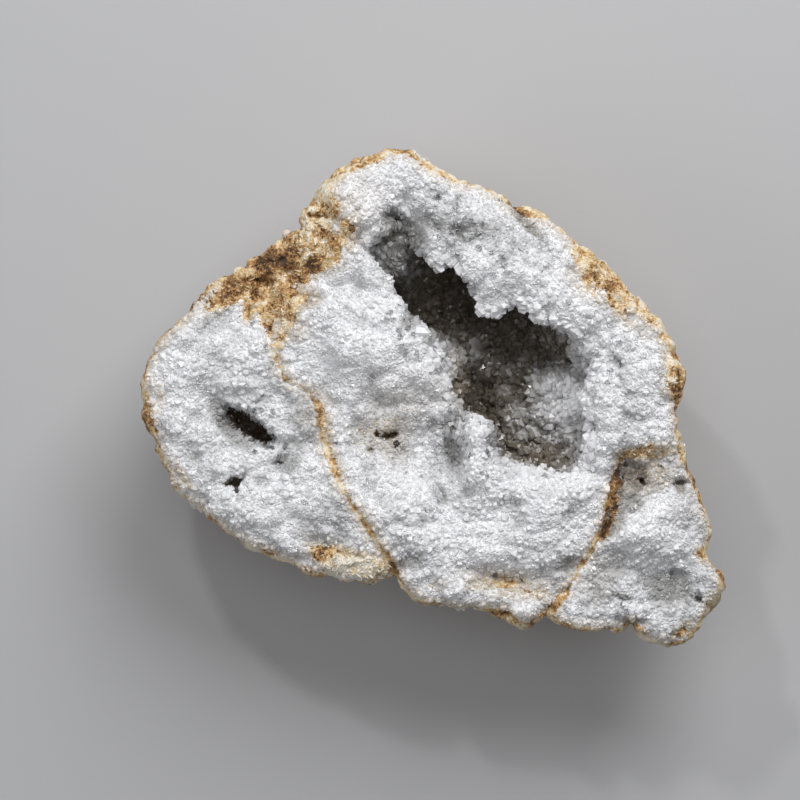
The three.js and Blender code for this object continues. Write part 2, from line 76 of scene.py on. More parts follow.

# %% [markdown]
# ## Two closed lines give the plan
#
# Seen from above, the stone has an outline and the hollow has a ragged mouth. Both are closed
# curves through given points. A Catmull-Rom curve passes through every point, and with
# knots spaced by the square root of the distances it makes no loops at the sharp notches.

# %% The outline and the mouth, anticlockwise from the right
OUTLINE = [
    (52.4, 8.9), (49.3, 15.8), (45.1, 20.9), (39.3, 26.4), (34.0, 32.0), (27.8, 36.9), (23.3, 40.8),
    (20.9, 42.6), (16.6, 43.7), (13.1, 45.7), (8.7, 48.0), (3.6, 49.5), (-0.4, 51.3), (-4.7, 53.5),
    (-8.4, 56.2), (-12.7, 56.6), (-17.8, 55.3), (-22.6, 52.8), (-25.3, 50.0), (-28.2, 47.1),
    (-31.5, 42.2), (-32.4, 38.9), (-37.7, 35.5), (-45.1, 30.6), (-52.2, 26.0), (-55.9, 22.2),
    (-58.2, 19.1), (-62.2, 15.5), (-65.7, 10.0), (-67.7, 4.0), (-67.0, -2.9), (-64.8, -8.4),
    (-61.7, -14.7), (-60.2, -18.4), (-55.1, -23.1), (-48.8, -28.2), (-41.5, -32.6), (-32.6, -36.2),
    (-27.5, -38.2), (-26.4, -37.3), (-21.3, -39.5), (-13.1, -38.6), (-11.3, -37.3), (-9.5, -40.8),
    (-5.5, -43.7), (0.9, -44.8), (7.5, -45.7), (12.9, -47.5), (17.3, -49.5), (20.2, -48.6),
    (22.0, -47.3), (27.5, -49.5), (34.0, -50.4), (38.9, -50.6), (41.5, -49.1), (44.6, -52.4),
    (49.5, -53.9), (53.7, -52.8), (56.2, -50.4), (58.6, -46.0), (61.9, -42.2), (61.7, -38.4),
    (58.6, -33.7), (58.8, -30.4), (59.5, -28.2), (57.5, -22.6), (54.2, -14.4), (52.4, -9.1),
    (51.5, -1.8), (53.5, 5.8),
]
MOUTH = [
    (32.8, 10.0), (29.8, 14.2), (25.4, 18.8), (21.0, 19.8), (18.9, 22.0), (14.4, 22.4), (10.7, 19.8),
    (7.6, 20.6), (6.0, 24.4), (4.2, 27.8), (2.6, 30.8), (-1.4, 30.0), (-4.8, 34.4), (-7.8, 39.1),
    (-11.8, 40.4), (-15.2, 38.0), (-18.4, 33.2), (-15.6, 30.4), (-12.2, 27.2), (-9.8, 23.3),
    (-8.2, 19.1), (-4.7, 16.4), (-2.4, 13.1), (0.0, 9.3), (0.4, 4.2), (1.8, 0.4), (0.7, -4.7),
    (3.8, -5.8), (5.5, -3.6), (8.6, -4.2), (10.2, -9.8), (12.8, -13.6), (18.9, -14.8),
    (23.8, -15.1), (28.9, -15.5), (31.3, -12.9), (32.2, -6.9), (31.7, -0.2), (33.1, 5.3),
]
HOLLOW_CENTRE = (7.8, 12.0)


def closed_line(corners, per_span=12):
    """A closed curve through the corners. Each span from b to c is blended from the straight
    runs through a, b, c and d, whose knots are the running sum of the root of the distances."""
    b = np.array(corners, float)
    a, c, d = np.roll(b, 1, 0), np.roll(b, -1, 0), np.roll(b, -2, 0)
    ta = np.zeros(len(b))
    tb = ta + np.sqrt(np.hypot(*(b - a).T))
    tc = tb + np.sqrt(np.hypot(*(c - b).T))
    td = tc + np.sqrt(np.hypot(*(d - c).T))
    a, b, c, d = (p[:, None, :] for p in (a, b, c, d))
    ta, tb, tc, td = (t[:, None, None] for t in (ta, tb, tc, td))
    t = tb + (tc - tb) * np.linspace(0, 1, per_span, endpoint=False)[None, :, None]

    def blend(p, q, tp, tq):
        return ((tq - t) * p + (t - tp) * q) / (tq - tp)

    ab, bc, cd = blend(a, b, ta, tb), blend(b, c, tb, tc), blend(c, d, tc, td)
    return blend(blend(ab, bc, ta, tc), blend(bc, cd, tb, td), tb, tc).reshape(-1, 2)


def radius_by_angle(corners):
    """The distance of a closed line from the hollow's centre, as a function of the angle."""
    away = closed_line(corners) - HOLLOW_CENTRE
    angle = np.arctan2(away[:, 1], away[:, 0]) % TURN
    order = np.argsort(angle)
    radius = np.hypot(away[:, 0], away[:, 1])
    return lambda wanted: np.interp(wanted % TURN, angle[order], radius[order], period=TURN)


outline_radius = radius_by_angle(OUTLINE)
mouth_radius = radius_by_angle(MOUTH)
nearest = float(outline_radius(np.linspace(0, TURN, 99)).min())
print("the outline comes as near as", round(nearest, 1), "mm to the centre of the hollow")

# %% [markdown]
# ## Lumps and noise
#
# Quartz crusts grow as round knobs packed side by side. A knob field looks up, for each point,
# the nearest few cells of a lattice, puts one round top in each, and keeps the highest. Smooth
# noise takes a number at each lattice corner and blends between them. Both need only one
# repeatable number per cell, so the same stone comes out on every run.

# %% One number per cell, and the two fields made from it
def smooth(value, low, high):
    """0 below low, 1 above high, and 3u^2 - 2u^3 between them."""
    u = np.clip((value - low) / (high - low), 0, 1)
    return u * u * (3 - 2 * u)


def chance(i, j, k):
    """A number from 0 to 1 for a cell: the fraction of a sine made very large."""
    value = np.sin(i * 127.1 + j * 311.7 + k * 74.7) * 43758.5453
    return value - np.floor(value)


def lumps(x, y, size, kind):
    """Round tops in plan: the largest of 1 - (distance / reach)^2 over the nearest cells."""
    column, row = np.floor(x / size), np.floor(y / size)
    best = np.zeros(np.broadcast(x, y).shape)
    for i in (-1, 0, 1):
        for j in (-1, 0, 1):
            across = x / size - column - i - (0.15 + 0.7 * chance(column + i, row + j, kind))
            along = y / size - row - j - (0.15 + 0.7 * chance(column + i, row + j, kind + 1))
            reach = 0.5 + 0.35 * chance(column + i, row + j, kind + 2)
            best = np.maximum(best, 1 - (across**2 + along**2) / reach**2)
    return best


def knobs(place, size, kind):
    """Round tops in space: the same field on a lattice of cubes."""
    cell = np.floor(place / size)
    best = np.zeros(place.shape[:-1])
    for i in (-1, 0, 1):
        for j in (-1, 0, 1):
            for k in (-1, 0, 1):
                near = cell + (i, j, k)
                label = near[..., 2] * 17.3 + kind * 5.1
                far = 0
                for n in range(3):
                    middle = 0.8 * chance(near[..., 0], near[..., 1], label + n)
                    far = far + (place[..., n] / size - near[..., n] - 0.1 - middle) ** 2
                reach = 0.6 + 0.4 * chance(near[..., 1], near[..., 0], label)
                best = np.maximum(best, 1 - far / reach**2)
    return best


def noise(place, size, kind, layers=3):
    """Smooth noise about 0: corner numbers blended over each cube, summed over halving sizes."""
    total = np.zeros(place.shape[:-1])
    for layer in range(layers):
        at = place / (size / 2**layer)
        cell = np.floor(at)
        u = at - cell
        u = u * u * (3 - 2 * u)
        value = np.zeros_like(total)
        for i in (0, 1):
            for j in (0, 1):
                for k in (0, 1):
                    label = (cell[..., 2] + k) * 13.7 + kind + layer
                    corner = chance(cell[..., 0] + i, cell[..., 1] + j, label)
                    share = np.abs(1 - i - u[..., 0]) * np.abs(1 - j - u[..., 1])
                    value += corner * (share * np.abs(1 - k - u[..., 2]))
        total += (value - 0.5) / 2**layer
    return total


print("noise sample:", round(float(noise(np.array([1.0, 2.0, 3.0]), 4, 1)), 3))

# %% [markdown]
# ## The relief of the broken face
#
# The face is a sheet at one height with swells and basins on it. The large ones are the same as
# the solid's. The finer ones are patches with steeper sides: each gives a lift in millimetres, and
# says how grey and how tan the quartz is there. Grey means clear crystals over a dip, which let
# the eye look into the stone, and also painted shade in dips, clefts and recesses; below zero it
# is painted light on raised banks. Tan means a stain of iron.

# %% Large swells and basins
RELIEF = [
    # across, along, half sizes, turn in degrees, height
    (-18.9, 44.2, 7, 10, 0, 3.0),  # knob left of the top cleft
    (14.4, 30.9, 14, 7, -35, 3.0),  # roof over the hollow
    (43.3, 5.3, 11, 16, 0, 2.0),  # right shoulder
    (-13.3, 13.1, 13, 10, -30, 3.5),  # bank left of the hollow
    (-15.5, -22.4, 16, 8, -35, 3.0),  # lower left bank
    (25.5, -23.5, 15, 8, 0, 3.0),  # lower right bank
    (43.3, -28.0, 9, 7, 35, 3.0),  # top of the small nodule
    (-53.3, 7.5, 11, 9, 35, 1.5),  # top of the left nodule
    (-41.0, -21.3, 13, 8, -30, 1.5),  # foot of the left nodule
    (8.2, -10.2, 5, 7, 0, 3.0),  # column at the hollow's lower edge
    (-8.9, -9.1, 12, 8, -20, -4.0),  # basin in the middle
    (-1.5, -11.3, 6, 6, 0, -3.0),  # recess beside the column
    (14.0, -23.5, 5, 5, 0, -2.5),  # dimple below the column
    (-10.0, 44.2, 4, 7, 25, -3.5),  # cleft above the hollow
    (-41.0, 25.3, 14, 7, 35, -4.0),  # rough slope at the upper left
    (50.0, -38.0, 6, 8, 0, -3.0),  # dip in the small nodule
    (14.4, -39.0, 14, 5, -10, -3.0),  # rough lower edge
    (-43.3, -5.3, 11, 4.5, -28, -2.0),  # dip round the pocket
]
NODULES = [
    # across, along, half sizes, turn, height of the face, height of the back
    (-50.0, -5.8, 25, 33, 15, -2.5, 13),
    (47.0, -33.5, 18, 22, 20, -4.0, 10),
]

# %% Finer patches: across, along, half sizes, turn, lift, grey with painted shade and light, tan
PATCHES = [
    (-11.6, 41.2, 2.4, 2.4, 12, -2.8, 0.8, 0.0),  # painted shade in the channel of the cleft
    (-12.4, 47.0, 2.6, 3.4, 12, 1.5, -0.3, 0.0),
    (-3.4, 40.2, 3.0, 1.6, -20, -1.6, 0.7, 0.0),
    (-16.9, 38.5, 2.2, 5.0, 0, 1.0, -0.35, 0.0),  # painted light on the bright side of the knob beside it
    (-8.4, 38.4, 5.0, 2.8, -28, -5.0, 1.0, 0.0),  # ledge beside the white tongue, with painted shade
    (2.6, 44.4, 0.8, 2.0, -20, -1.2, 0.6, 0.0),  # crack in the roof, with painted shade
    (3.2, 38.4, 2.0, 1.6, 0, -1.0, 0.4, 0.0),
    (17.8, 40.0, 5.6, 1.1, -45, -0.6, 1.0, 0.25),  # clear streak along the rim
    (-19.3, 26.9, 1.8, 3.0, 0, -1.0, 0.5, 0.0),
    (-17.5, 6.4, 4.4, 2.2, 20, -0.6, 0.15, 0.0),
    (-9.5, 1.5, 6.0, 3.5, -25, 0.4, 0.0, 0.04),
    (-3.0, 6.6, 3.4, 4.2, 0, 1.2, -0.4, 0.0),  # painted light on the bright bank beside the hollow
    (-24.0, 12.5, 5.0, 6.0, 0, 1.2, -0.35, 0.0),  # and painted light on its far side
    (-27.5, -1.0, 4.5, 5.5, 0, 0.0, 0.32, 0.22),  # dull strip along the left seam
    (-10.5, -11.5, 4.2, 3.0, -20, -0.8, 0.4, 0.12),
    (-14.5, -6.4, 6.4, 3.8, 10, -0.8, 0.35, 0.2),  # beige stain round the middle pit
    (-16.6, -10.2, 0.9, 0.7, 0, -1.2, 0.5, 0.3),
    (-5.5, -4.6, 5.0, 2.9, -10, -0.8, 0.35, 0.0),
    (1.6, -9.0, 2.0, 6.4, 8, -3.0, 0.8, 0.0),  # deep recess beside the column, with painted shade
    (0.0, -12.5, 3.0, 5.0, 10, -0.8, 0.4, 0.0),
    (6.6, -11.0, 1.9, 8.4, 4, 3.2, -0.8, 0.0),  # the column, with painted light
    (-1.2, -20.2, 1.4, 2.6, 25, -1.6, 0.7, 0.0),
    (5.1, -19.8, 1.8, 1.4, 10, -1.0, 0.45, 0.0),
    (14.4, -22.4, 2.5, 2.7, 0, -0.6, 0.4, 0.05),
    (-6.9, -35.1, 3.2, 2.2, 10, -1.6, 0.8, 0.0),
    (14.0, -40.6, 9.5, 2.8, -10, -0.6, 0.12, 0.26),  # brownish rough edge
    (12.5, -34.4, 9.5, 2.6, -9, 1.2, -0.4, 0.0),  # painted light on the bright bank above it
    (13.5, -39.4, 3.4, 1.3, -15, -0.8, 0.35, 0.0),
    (5.5, -41.0, 2.4, 1.4, 10, -0.6, 0.1, 0.16),
    (22.0, -42.5, 2.4, 1.6, -30, -0.6, 0.1, 0.16),
    (-1.5, -40.5, 2.6, 1.4, 0, -0.4, 0.1, 0.3),
    (27.3, -35.6, 3.2, 2.2, 20, -1.0, 0.8, 0.15),
    (18.0, -46.4, 3.4, 2.0, -8, 1.2, -0.3, 0.15),  # white nub at the foot
    (-24.5, -27.0, 4.0, 5.0, 35, -0.6, 0.25, 0.0),  # grey zone of the left nodule
    (-29.0, -30.2, 5.5, 2.2, -20, -0.8, 0.6, 0.1),
    (-21.2, -34.9, 9.5, 3.0, -14, 0.4, -0.9, 1.0),  # cream patch at its foot
    (-27.0, -34.0, 2.5, 1.6, -30, -0.4, 0.5, 0.1),
    (-40.6, 30.6, 12.5, 3.6, 39, -0.6, 0.2, 1.0),  # rough tan slope
    (-26.8, 42.4, 2.6, 4.6, -30, -0.4, 0.25, 0.9),
    (-33.0, 29.5, 5.0, 4.4, 30, -0.5, 0.3, 0.75),
    (-34.5, 32.5, 4.0, 1.6, 40, -0.8, 0.6, 0.1),  # its brown hollow
    (-30.0, 23.4, 3.0, 2.4, 0, -1.0, 0.6, 0.4),
    (-42.6, 21.4, 2.0, 2.6, 0, -1.0, 0.6, 0.35),
    (-39.4, 19.5, 1.8, 4.4, 8, -0.6, 0.1, 0.8),
    (-34.6, 20.4, 2.2, 3.6, -10, -0.3, 0.25, 0.5),
    (-27.0, 34.0, 3.6, 5.0, 0, -0.3, 0.15, 0.3),
    (-41.5, 23.8, 1.6, 1.4, 0, -1.2, 0.8, 0.4),
    (-50.0, 18.8, 5.5, 2.2, 30, -0.7, 0.45, 0.0),
    (-47.0, 14.5, 3.0, 2.0, 0, -0.5, 0.35, 0.0),
    (-50.5, -1.0, 3.2, 2.2, -40, -1.4, 0.7, 0.0),  # shelf at the pocket's upper end, with painted shade
    (-48.6, -4.4, 2.2, 1.6, -40, -1.6, 0.9, 0.1),
    (-46.0, 5.0, 5.0, 3.0, 0, 0.8, -0.3, 0.0),
    (-61.0, 5.0, 5.0, 6.0, 0, 0.0, -0.3, 0.0),
    (-39.0, -8.2, 2.6, 2.0, -30, -1.2, 0.6, 0.0),
    (-35.0, -13.6, 2.4, 2.6, -30, -1.6, 0.9, 0.0),  # and the ledge below it, with painted shade
    (-46.2, -7.6, 5.6, 1.7, -40, -1.6, 0.9, 0.05),
    (-40.6, -17.3, 2.0, 1.6, 0, -0.8, 0.45, 0.0),
    (-54.0, -10.5, 4.0, 3.0, 0, -0.4, 0.3, 0.0),
    (-63.4, 2.0, 1.6, 4.6, 0, -0.4, 0.25, 0.35),
    (-58.5, -16.0, 1.6, 5.0, 35, -0.3, 0.1, 0.45),
    (-26.9, -4.5, 1.0, 6.5, 8, 0.2, 0.1, 0.5),  # brown upper part of the left seam
    (-37.0, 12.5, 1.5, 6.0, -14, -0.2, 0.15, 0.55),
    (-43.8, 21.0, 1.5, 3.6, -8, -0.3, 0.15, 0.55),  # tan lobes that run down from the slope
    (-39.0, 26.0, 3.6, 2.6, 0, 0.0, 0.1, 0.45),
    (-30.0, 33.2, 4.0, 3.0, 0, 0.0, 0.1, 0.42),
    (-16.0, -30.0, 1.0, 5.0, 30, 0.0, 0.2, 0.4),
    (41.4, -15.6, 3.6, 3.2, -20, -2.0, 0.9, 0.1),  # brown recess of the small nodule, partly painted shade
    (43.1, -18.4, 1.5, 1.3, 0, -1.6, 0.8, 0.0),
    (52.2, -18.2, 1.3, 1.9, 15, -1.0, 0.7, 0.2),
    (36.9, -24.0, 1.3, 6.5, -20, -2.2, 1.1, 0.6),  # dark groove along the right seam: painted shade and a tan stain
    (38.6, -26.0, 1.6, 3.6, -20, -0.8, 0.7, 0.2),
    (35.6, -28.4, 1.6, 3.0, -20, -1.2, 0.8, 0.3),
    (43.0, -30.4, 4.0, 2.2, 0, 0.8, -0.35, 0.0),
    (45.0, -39.0, 3.0, 2.2, 0, -0.8, 0.55, 0.0),
    (41.2, -21.6, 3.4, 2.6, -30, -1.0, 0.75, 0.15),
    (44.3, -26.0, 5.4, 4.0, 25, 1.0, -0.35, 0.0),  # painted light on the bright bank of the small nodule
    (49.5, -41.0, 5.5, 3.8, 15, -1.0, 0.7, 0.0),
    (49.5, -30.8, 5.5, 3.0, 0, 1.0, -0.35, 0.0),
    (37.6, -40.0, 4.0, 2.6, 15, 0.8, -0.2, 0.0),
    (39.8, -43.0, 2.6, 0.8, -20, -1.0, 0.85, 0.1),
    (56.6, -43.1, 0.9, 0.8, 0, -1.4, 0.95, 0.1),
    (43.0, -48.4, 2.6, 1.2, 0, -0.8, 0.6, 0.1),
    (57.4, -33.4, 2.2, 2.6, 10, 0.2, 0.0, 0.55),
    (53.0, -50.4, 4.0, 1.6, 35, 0.0, 0.1, 0.5),
    (32.0, 31.0, 5.0, 2.2, -50, -0.3, -0.15, 0.85),  # wide rind at the upper right
    (41.5, 23.4, 9.0, 1.6, -47, -0.2, -0.1, 0.75),
    (36.0, 24.0, 8.0, 3.4, -49, 0.0, 0.1, 0.34),
    (29.5, 27.0, 6.0, 3.2, -48, 0.0, 0.15, 0.22),
    (32.6, 27.6, 3.0, 4.0, -50, 0.0, -0.6, 0.1),
    (51.0, 6.0, 1.7, 6.0, 0, 0.0, 0.1, 0.7),
    (46.0, -10.4, 8.5, 1.4, 4, -0.3, 0.1, 0.8),  # tan band over the small nodule
    (-19.0, 45.0, 8.0, 10.0, 0, 0.0, -0.12, 0.16),  # broad tints with no lift: the upper knob
    (-25.0, 37.0, 5.0, 9.0, -20, 0.0, 0.1, 0.32),
    (-22.5, 34.0, 3.6, 6.5, -20, 0.0, 0.08, 0.2),
    (-33.6, 17.4, 4.2, 4.4, 10, 0.0, 0.05, 0.34),  # cream ridges below the slope
    (-44.5, 27.6, 12.0, 2.6, 38, 0.0, 0.1, 0.75),  # tan slope along the outline
    (-36.0, 22.5, 5.0, 3.0, 20, 0.0, 0.15, 0.5),
    (-28.6, 42.0, 1.8, 6.5, -28, 0.0, 0.1, 0.7),
    (-9.0, 3.5, 12.0, 7.0, -10, 0.0, 0.0, 0.14),  # grey basin in the middle
    (-14.0, -6.0, 9.0, 6.5, 0, 0.0, 0.12, 0.16),
    (31.5, 32.0, 9.0, 2.8, -46, 0.0, 0.05, 0.32),  # cream band inside the right rim
    (42.0, 19.5, 10.0, 3.6, -50, 0.0, 0.05, 0.22),
    (49.8, 8.0, 3.0, 9.0, 0, 0.0, 0.1, 0.36),
    (1.0, 40.5, 9.0, 4.5, -20, 0.0, 0.42, 0.0),  # greyer roof
    (12.0, 36.0, 8.0, 5.0, -40, 0.0, 0.22, 0.0),
    (44.5, -15.6, 8.0, 4.6, 0, -0.3, 0.4, 0.36),  # brown grey head of the small nodule
    (53.0, -24.0, 3.0, 7.0, 0, 0.0, 0.3, 0.1),
    (52.0, -41.5, 6.5, 5.5, 10, 0.0, 0.4, 0.05),
    (34.5, -39.0, 5.0, 7.0, -20, 0.0, 0.3, 0.15),
    (14.0, -39.5, 14.0, 4.0, -9, 0.0, 0.1, 0.22),
    (-24.0, -26.0, 7.0, 9.0, 35, 0.0, 0.2, 0.0),
    (-32.0, -3.0, 5.0, 8.0, 0, 0.0, 0.22, 0.06),
    (-64.8, -6.0, 2.0, 9.0, 12, 0.0, 0.05, 0.42),
    (-9.5, 32.5, 10.0, 5.0, -48, 0.0, 0.75, 0.0),  # grey shelves of the hollow's upper end: clear crystals, partly painted shade
    (-7.6, 18.4, 2.0, 2.8, -40, -2.4, 0.9, 0.0),  # dark notches in the mouth, with painted shade
    (-3.4, 14.0, 1.6, 2.0, -40, -2.0, 0.8, 0.0),
    (3.2, 7.0, 2.6, 7.5, 0, 0.0, 0.35, 0.3),  # beige slope under the bank
    (11.4, -5.2, 2.2, 5.0, -15, -4.5, 1.0, 0.0),  # the valley cuts into the face, with painted shade
    (-13.0, 26.0, 3.0, 2.4, -40, 0.8, -0.2, 0.0),  # white clumps of the bank, with painted light
    (-7.0, 23.0, 1.6, 1.8, 0, -1.2, 0.4, 0.0),
    (12.8, -10.5, 1.2, 2.6, -10, -1.6, 0.5, 0.0),  # recess right of the column, with painted shade
    (10.2, -18.4, 2.6, 4.6, 0, 1.4, -0.5, 0.0),
    (-23.5, 9.5, 5.0, 3.0, 0, 0.6, -0.3, 0.0),
    (-31.0, 8.0, 4.0, 8.0, 0, 0.0, -0.1, 0.0),
    (32.0, -26.0, 5.0, 9.0, -20, 0.0, -0.1, 0.0),
]


def spread(x, y, patch):
    """Squared distance from a patch's centre, counted in half sizes along its turned axes."""
    c, s = math.cos(math.radians(patch[4])), math.sin(math.radians(patch[4]))
    u = ((x - patch[0]) * c + (y - patch[1]) * s) / patch[2]
    v = ((y - patch[1]) * c - (x - patch[0]) * s) / patch[3]
    return u * u + v * v


def patch_sum(x, y, column):
    """The sum over all patches of a value times exp(-spread^2), flat on top and steep-sided."""
    total = np.zeros(np.broadcast(x, y).shape)
    for patch in PATCHES:
        if patch[column]:
            total += patch[column] * np.exp(-np.minimum(spread(x, y, patch), 6) ** 2)
    return total


def belongs(x, y, nodule, near=0.8, far=1.3):
    """How much a point belongs to a smaller nodule, from 1 inside to 0 outside."""
    return 1 - smooth(np.sqrt(spread(x, y, nodule)), near, far)


print(len(RELIEF), "swells and basins,", len(PATCHES), "patches")

# %% [markdown]
# ## Seams, pits and the pocket
#
# Where two nodules met, their skins were pressed into a thin tan seam that still shows as a
# groove. Distances to the seams and to the outline are measured in plan. They are kept on the
# mesh in millimetres, so that a material can draw a crisp edge between two grid points.

# %% The seams as lines, and the distance to a line
LEFT_SEAM = [
    (-39.3, 18.2), (-38.0, 12.0), (-35.1, 5.3), (-30.0, 2.7), (-27.3, -2.4), (-26.0, -10.2),
    (-22.2, -19.8), (-17.8, -26.2), (-13.5, -32.9), (-11.1, -38.6),
]
RIGHT_SEAM = [
    (53.1, -10.7), (45.5, -9.8), (38.9, -12.0), (38.2, -15.8), (36.2, -22.4), (34.4, -28.0),
    (31.1, -34.6), (26.9, -41.3), (23.3, -46.2), (22.2, -48.4),
]
POCKET = {"centre": (-43.5, -5.0), "turn": -37, "long": 8.2, "short": 3.9, "depth": 11}
PITS = [
    # across, along, radius, depth
    (-46.4, -17.1, 1.9, 5.0), (-13.1, -7.1, 1.7, 5.0),  # below the pocket, and in the middle
    (40.2, -13.6, 0.8, 2.2), (44.0, -17.4, 1.0, 2.6), (48.0, -14.2, 0.8, 2.0), (52.4, -17.4, 1.0, 2.4),
    (11.3, -38.3, 0.9, 1.8), (16.8, -39.4, 0.8, 1.8), (-36.4, -13.0, 1.0, 2.2), (-19.4, 43.0, 0.6, 1.4),
    (56.6, -43.1, 0.8, 2.2), (-28.4, 40.6, 1.1, 2.2), (-35.0, 29.6, 1.0, 2.2), (-40.6, 27.8, 0.9, 2.0),
]


def distance_to(x, y, line):
    """The least distance in plan from each point to the runs of a line."""
    best = np.full(np.broadcast(x, y).shape, 1e9)
    for (ax, ay), (bx, by) in zip(line[:-1], line[1:]):
        run_x, run_y = bx - ax, by - ay
        along = np.clip(((x - ax) * run_x + (y - ay) * run_y) / (run_x**2 + run_y**2), 0, 1)
        best = np.minimum(best, np.hypot(x - ax - along * run_x, y - ay - along * run_y))
    return best


def seam_distance(x, y):
    return np.minimum(distance_to(x, y, LEFT_SEAM), distance_to(x, y, RIGHT_SEAM))


EDGE_LINE = closed_line(OUTLINE, 5)
EDGE_LINE = np.vstack([EDGE_LINE, EDGE_LINE[:1]])


def pocket_radius(x, y):
    """Distance from the pocket's centre in half sizes: 1 on its oval edge."""
    oval = (*POCKET["centre"], POCKET["long"], POCKET["short"], POCKET["turn"])
    return np.sqrt(spread(x, y, oval))


def pit_depth(x, y):
    """How far the small pits are sunk: ragged, with steep sides."""
    ragged = noise(np.stack(np.broadcast_arrays(x, y, np.zeros_like(x)), -1), 2.2, 62, 3)
    deep = np.zeros(np.broadcast(x, y).shape)
    for at_x, at_y, radius, depth in PITS:
        far = np.hypot(x - at_x, (y - at_y) * 1.25) * (1 + 1.3 * ragged)
        deep = np.maximum(deep, depth * (1 - smooth(far, 0.55 * radius, 1.15 * radius)))
    return deep


def dug_depth(x, y):
    """How far the pocket and the pits are sunk. The pocket has a rounded floor, and a clump of
    crystals pushes in its edge on one side."""
    place = np.stack(np.broadcast_arrays(x, y, np.zeros_like(x)), -1)
    ragged = np.abs(noise(place, 3.0, 61, 3))
    clump = np.exp(-((x + 39.6) ** 2 + (y + 3.0) ** 2) / 5.0)
    reach = pocket_radius(x, y) + 0.7 * ragged + 0.45 * clump
    deep = POCKET["depth"] * (1 - smooth(reach, 0.84, 1.0)) * (1 - 0.2 * np.minimum(reach, 1.5) ** 2)
    return np.maximum(deep, pit_depth(x, y))


# %% [markdown]
# ## The stone as one surface of two parameters
#
# One parameter is the angle about the hollow's centre. The other runs from the hollow's floor up
# its wall, over the mouth, across the broken face to the outline, and round the back to the flat
# spot that the stone rests on. Each stretch has its own formula, and the rows are stacked into one
# closed skin. Knobs and noise then push every point along its normal.

# %% Formulas of the face, the hollow and the back
EDGE_DROP = 4.0
EDGE_WIDTH = 5.0
FACE_LUMP = (1.4, 9.0)
BACK_LUMP = (1.6, 12.0)
BACK_BELOW_REST = 1.6
BACK_FULLNESS = 2.2
BACK_GROOVE = (3.0, 7.0)
CHAMBER = {"long": 38.0, "roof_side": 22.0, "bank_side": 16.0, "turn": math.radians(-42)}
CHAMBER_HEIGHT = 26.0
CHAMBER_AT = 0.35
HOLLOW_FLOOR = 13.0
FLOOR_RISE = 0.32
LIP = 0.2
MOUTH_WIDTH = 7.0
MOUTH_ROLL = [  # angle, and how far the face rolls down there
    (0, 1.5), (30, 1), (105, 1), (140, 3.5), (215, 4), (265, 2), (300, 5.5), (335, 5), (360, 1.5),
]


def mouth_roll(angle):
    """How far the face rolls down at the mouth, between the knots of a table by angle."""
    knots = np.array(MOUTH_ROLL, float)
    return np.interp(np.degrees(angle) % 360, knots[:, 0], knots[:, 1])


def face_height(x, y):
    """The face's height before it rolls over at the outline: a level, lumps, swells and steps."""
    z = FACE_HEIGHT + FACE_LUMP[0] * lumps(x, y, FACE_LUMP[1], 1)
    for swell in RELIEF:
        z = z + swell[5] * np.exp(-spread(x, y, swell))
    for nodule in NODULES:
        z = z + nodule[5] * belongs(x, y, nodule)
    return z


def around(angle, radius):
    return HOLLOW_CENTRE[0] + radius * np.cos(angle), HOLLOW_CENTRE[1] + radius * np.sin(angle)


def face_point(angle, share):
    """A point of the face at a share of the way from the mouth to the outline. It rolls down
    with the square of the nearness to either."""
    mouth, edge = mouth_radius(angle), outline_radius(angle)
    x, y = around(angle, mouth + (edge - mouth) * share)
    near_edge = 1 - np.clip((1 - share) * (edge - mouth) / EDGE_WIDTH, 0, 1)
    near_mouth = 1 - np.clip(share * (edge - mouth) / MOUTH_WIDTH, 0, 1)
    drop = EDGE_DROP * near_edge**2 + mouth_roll(angle) * near_mouth**2
    return np.stack(np.broadcast_arrays(x, y, face_height(x, y) - drop), -1)


def back_point(angle, share):
    """A point of the back at a share of the way from the resting spot to the outline.
    The cross section is a superellipse: height falls with the root of 1 - share^fullness."""
    edge = face_point(angle, np.ones_like(share))
    x, y = edge[..., 0] * share, edge[..., 1] * share
    bottom = -BACK_BELOW_REST * np.ones_like(x)
    for nodule in NODULES:
        bottom = bottom + (nodule[6] - bottom) * belongs(x, y, nodule, 0.55, 1.55)
    inner = 1 - share**8
    z = edge[..., 2] - (edge[..., 2] - bottom) * np.sqrt(1 - share**BACK_FULLNESS)
    z = z - BACK_LUMP[0] * (lumps(x, y, BACK_LUMP[1], 5) - 0.5) * inner
    for seam in (LEFT_SEAM, RIGHT_SEAM):
        z = z + BACK_GROOVE[0] * np.exp(-((distance_to(x, y, seam) / BACK_GROOVE[1]) ** 2)) * inner
    return np.stack((x, y, np.maximum(z, 0)), -1)


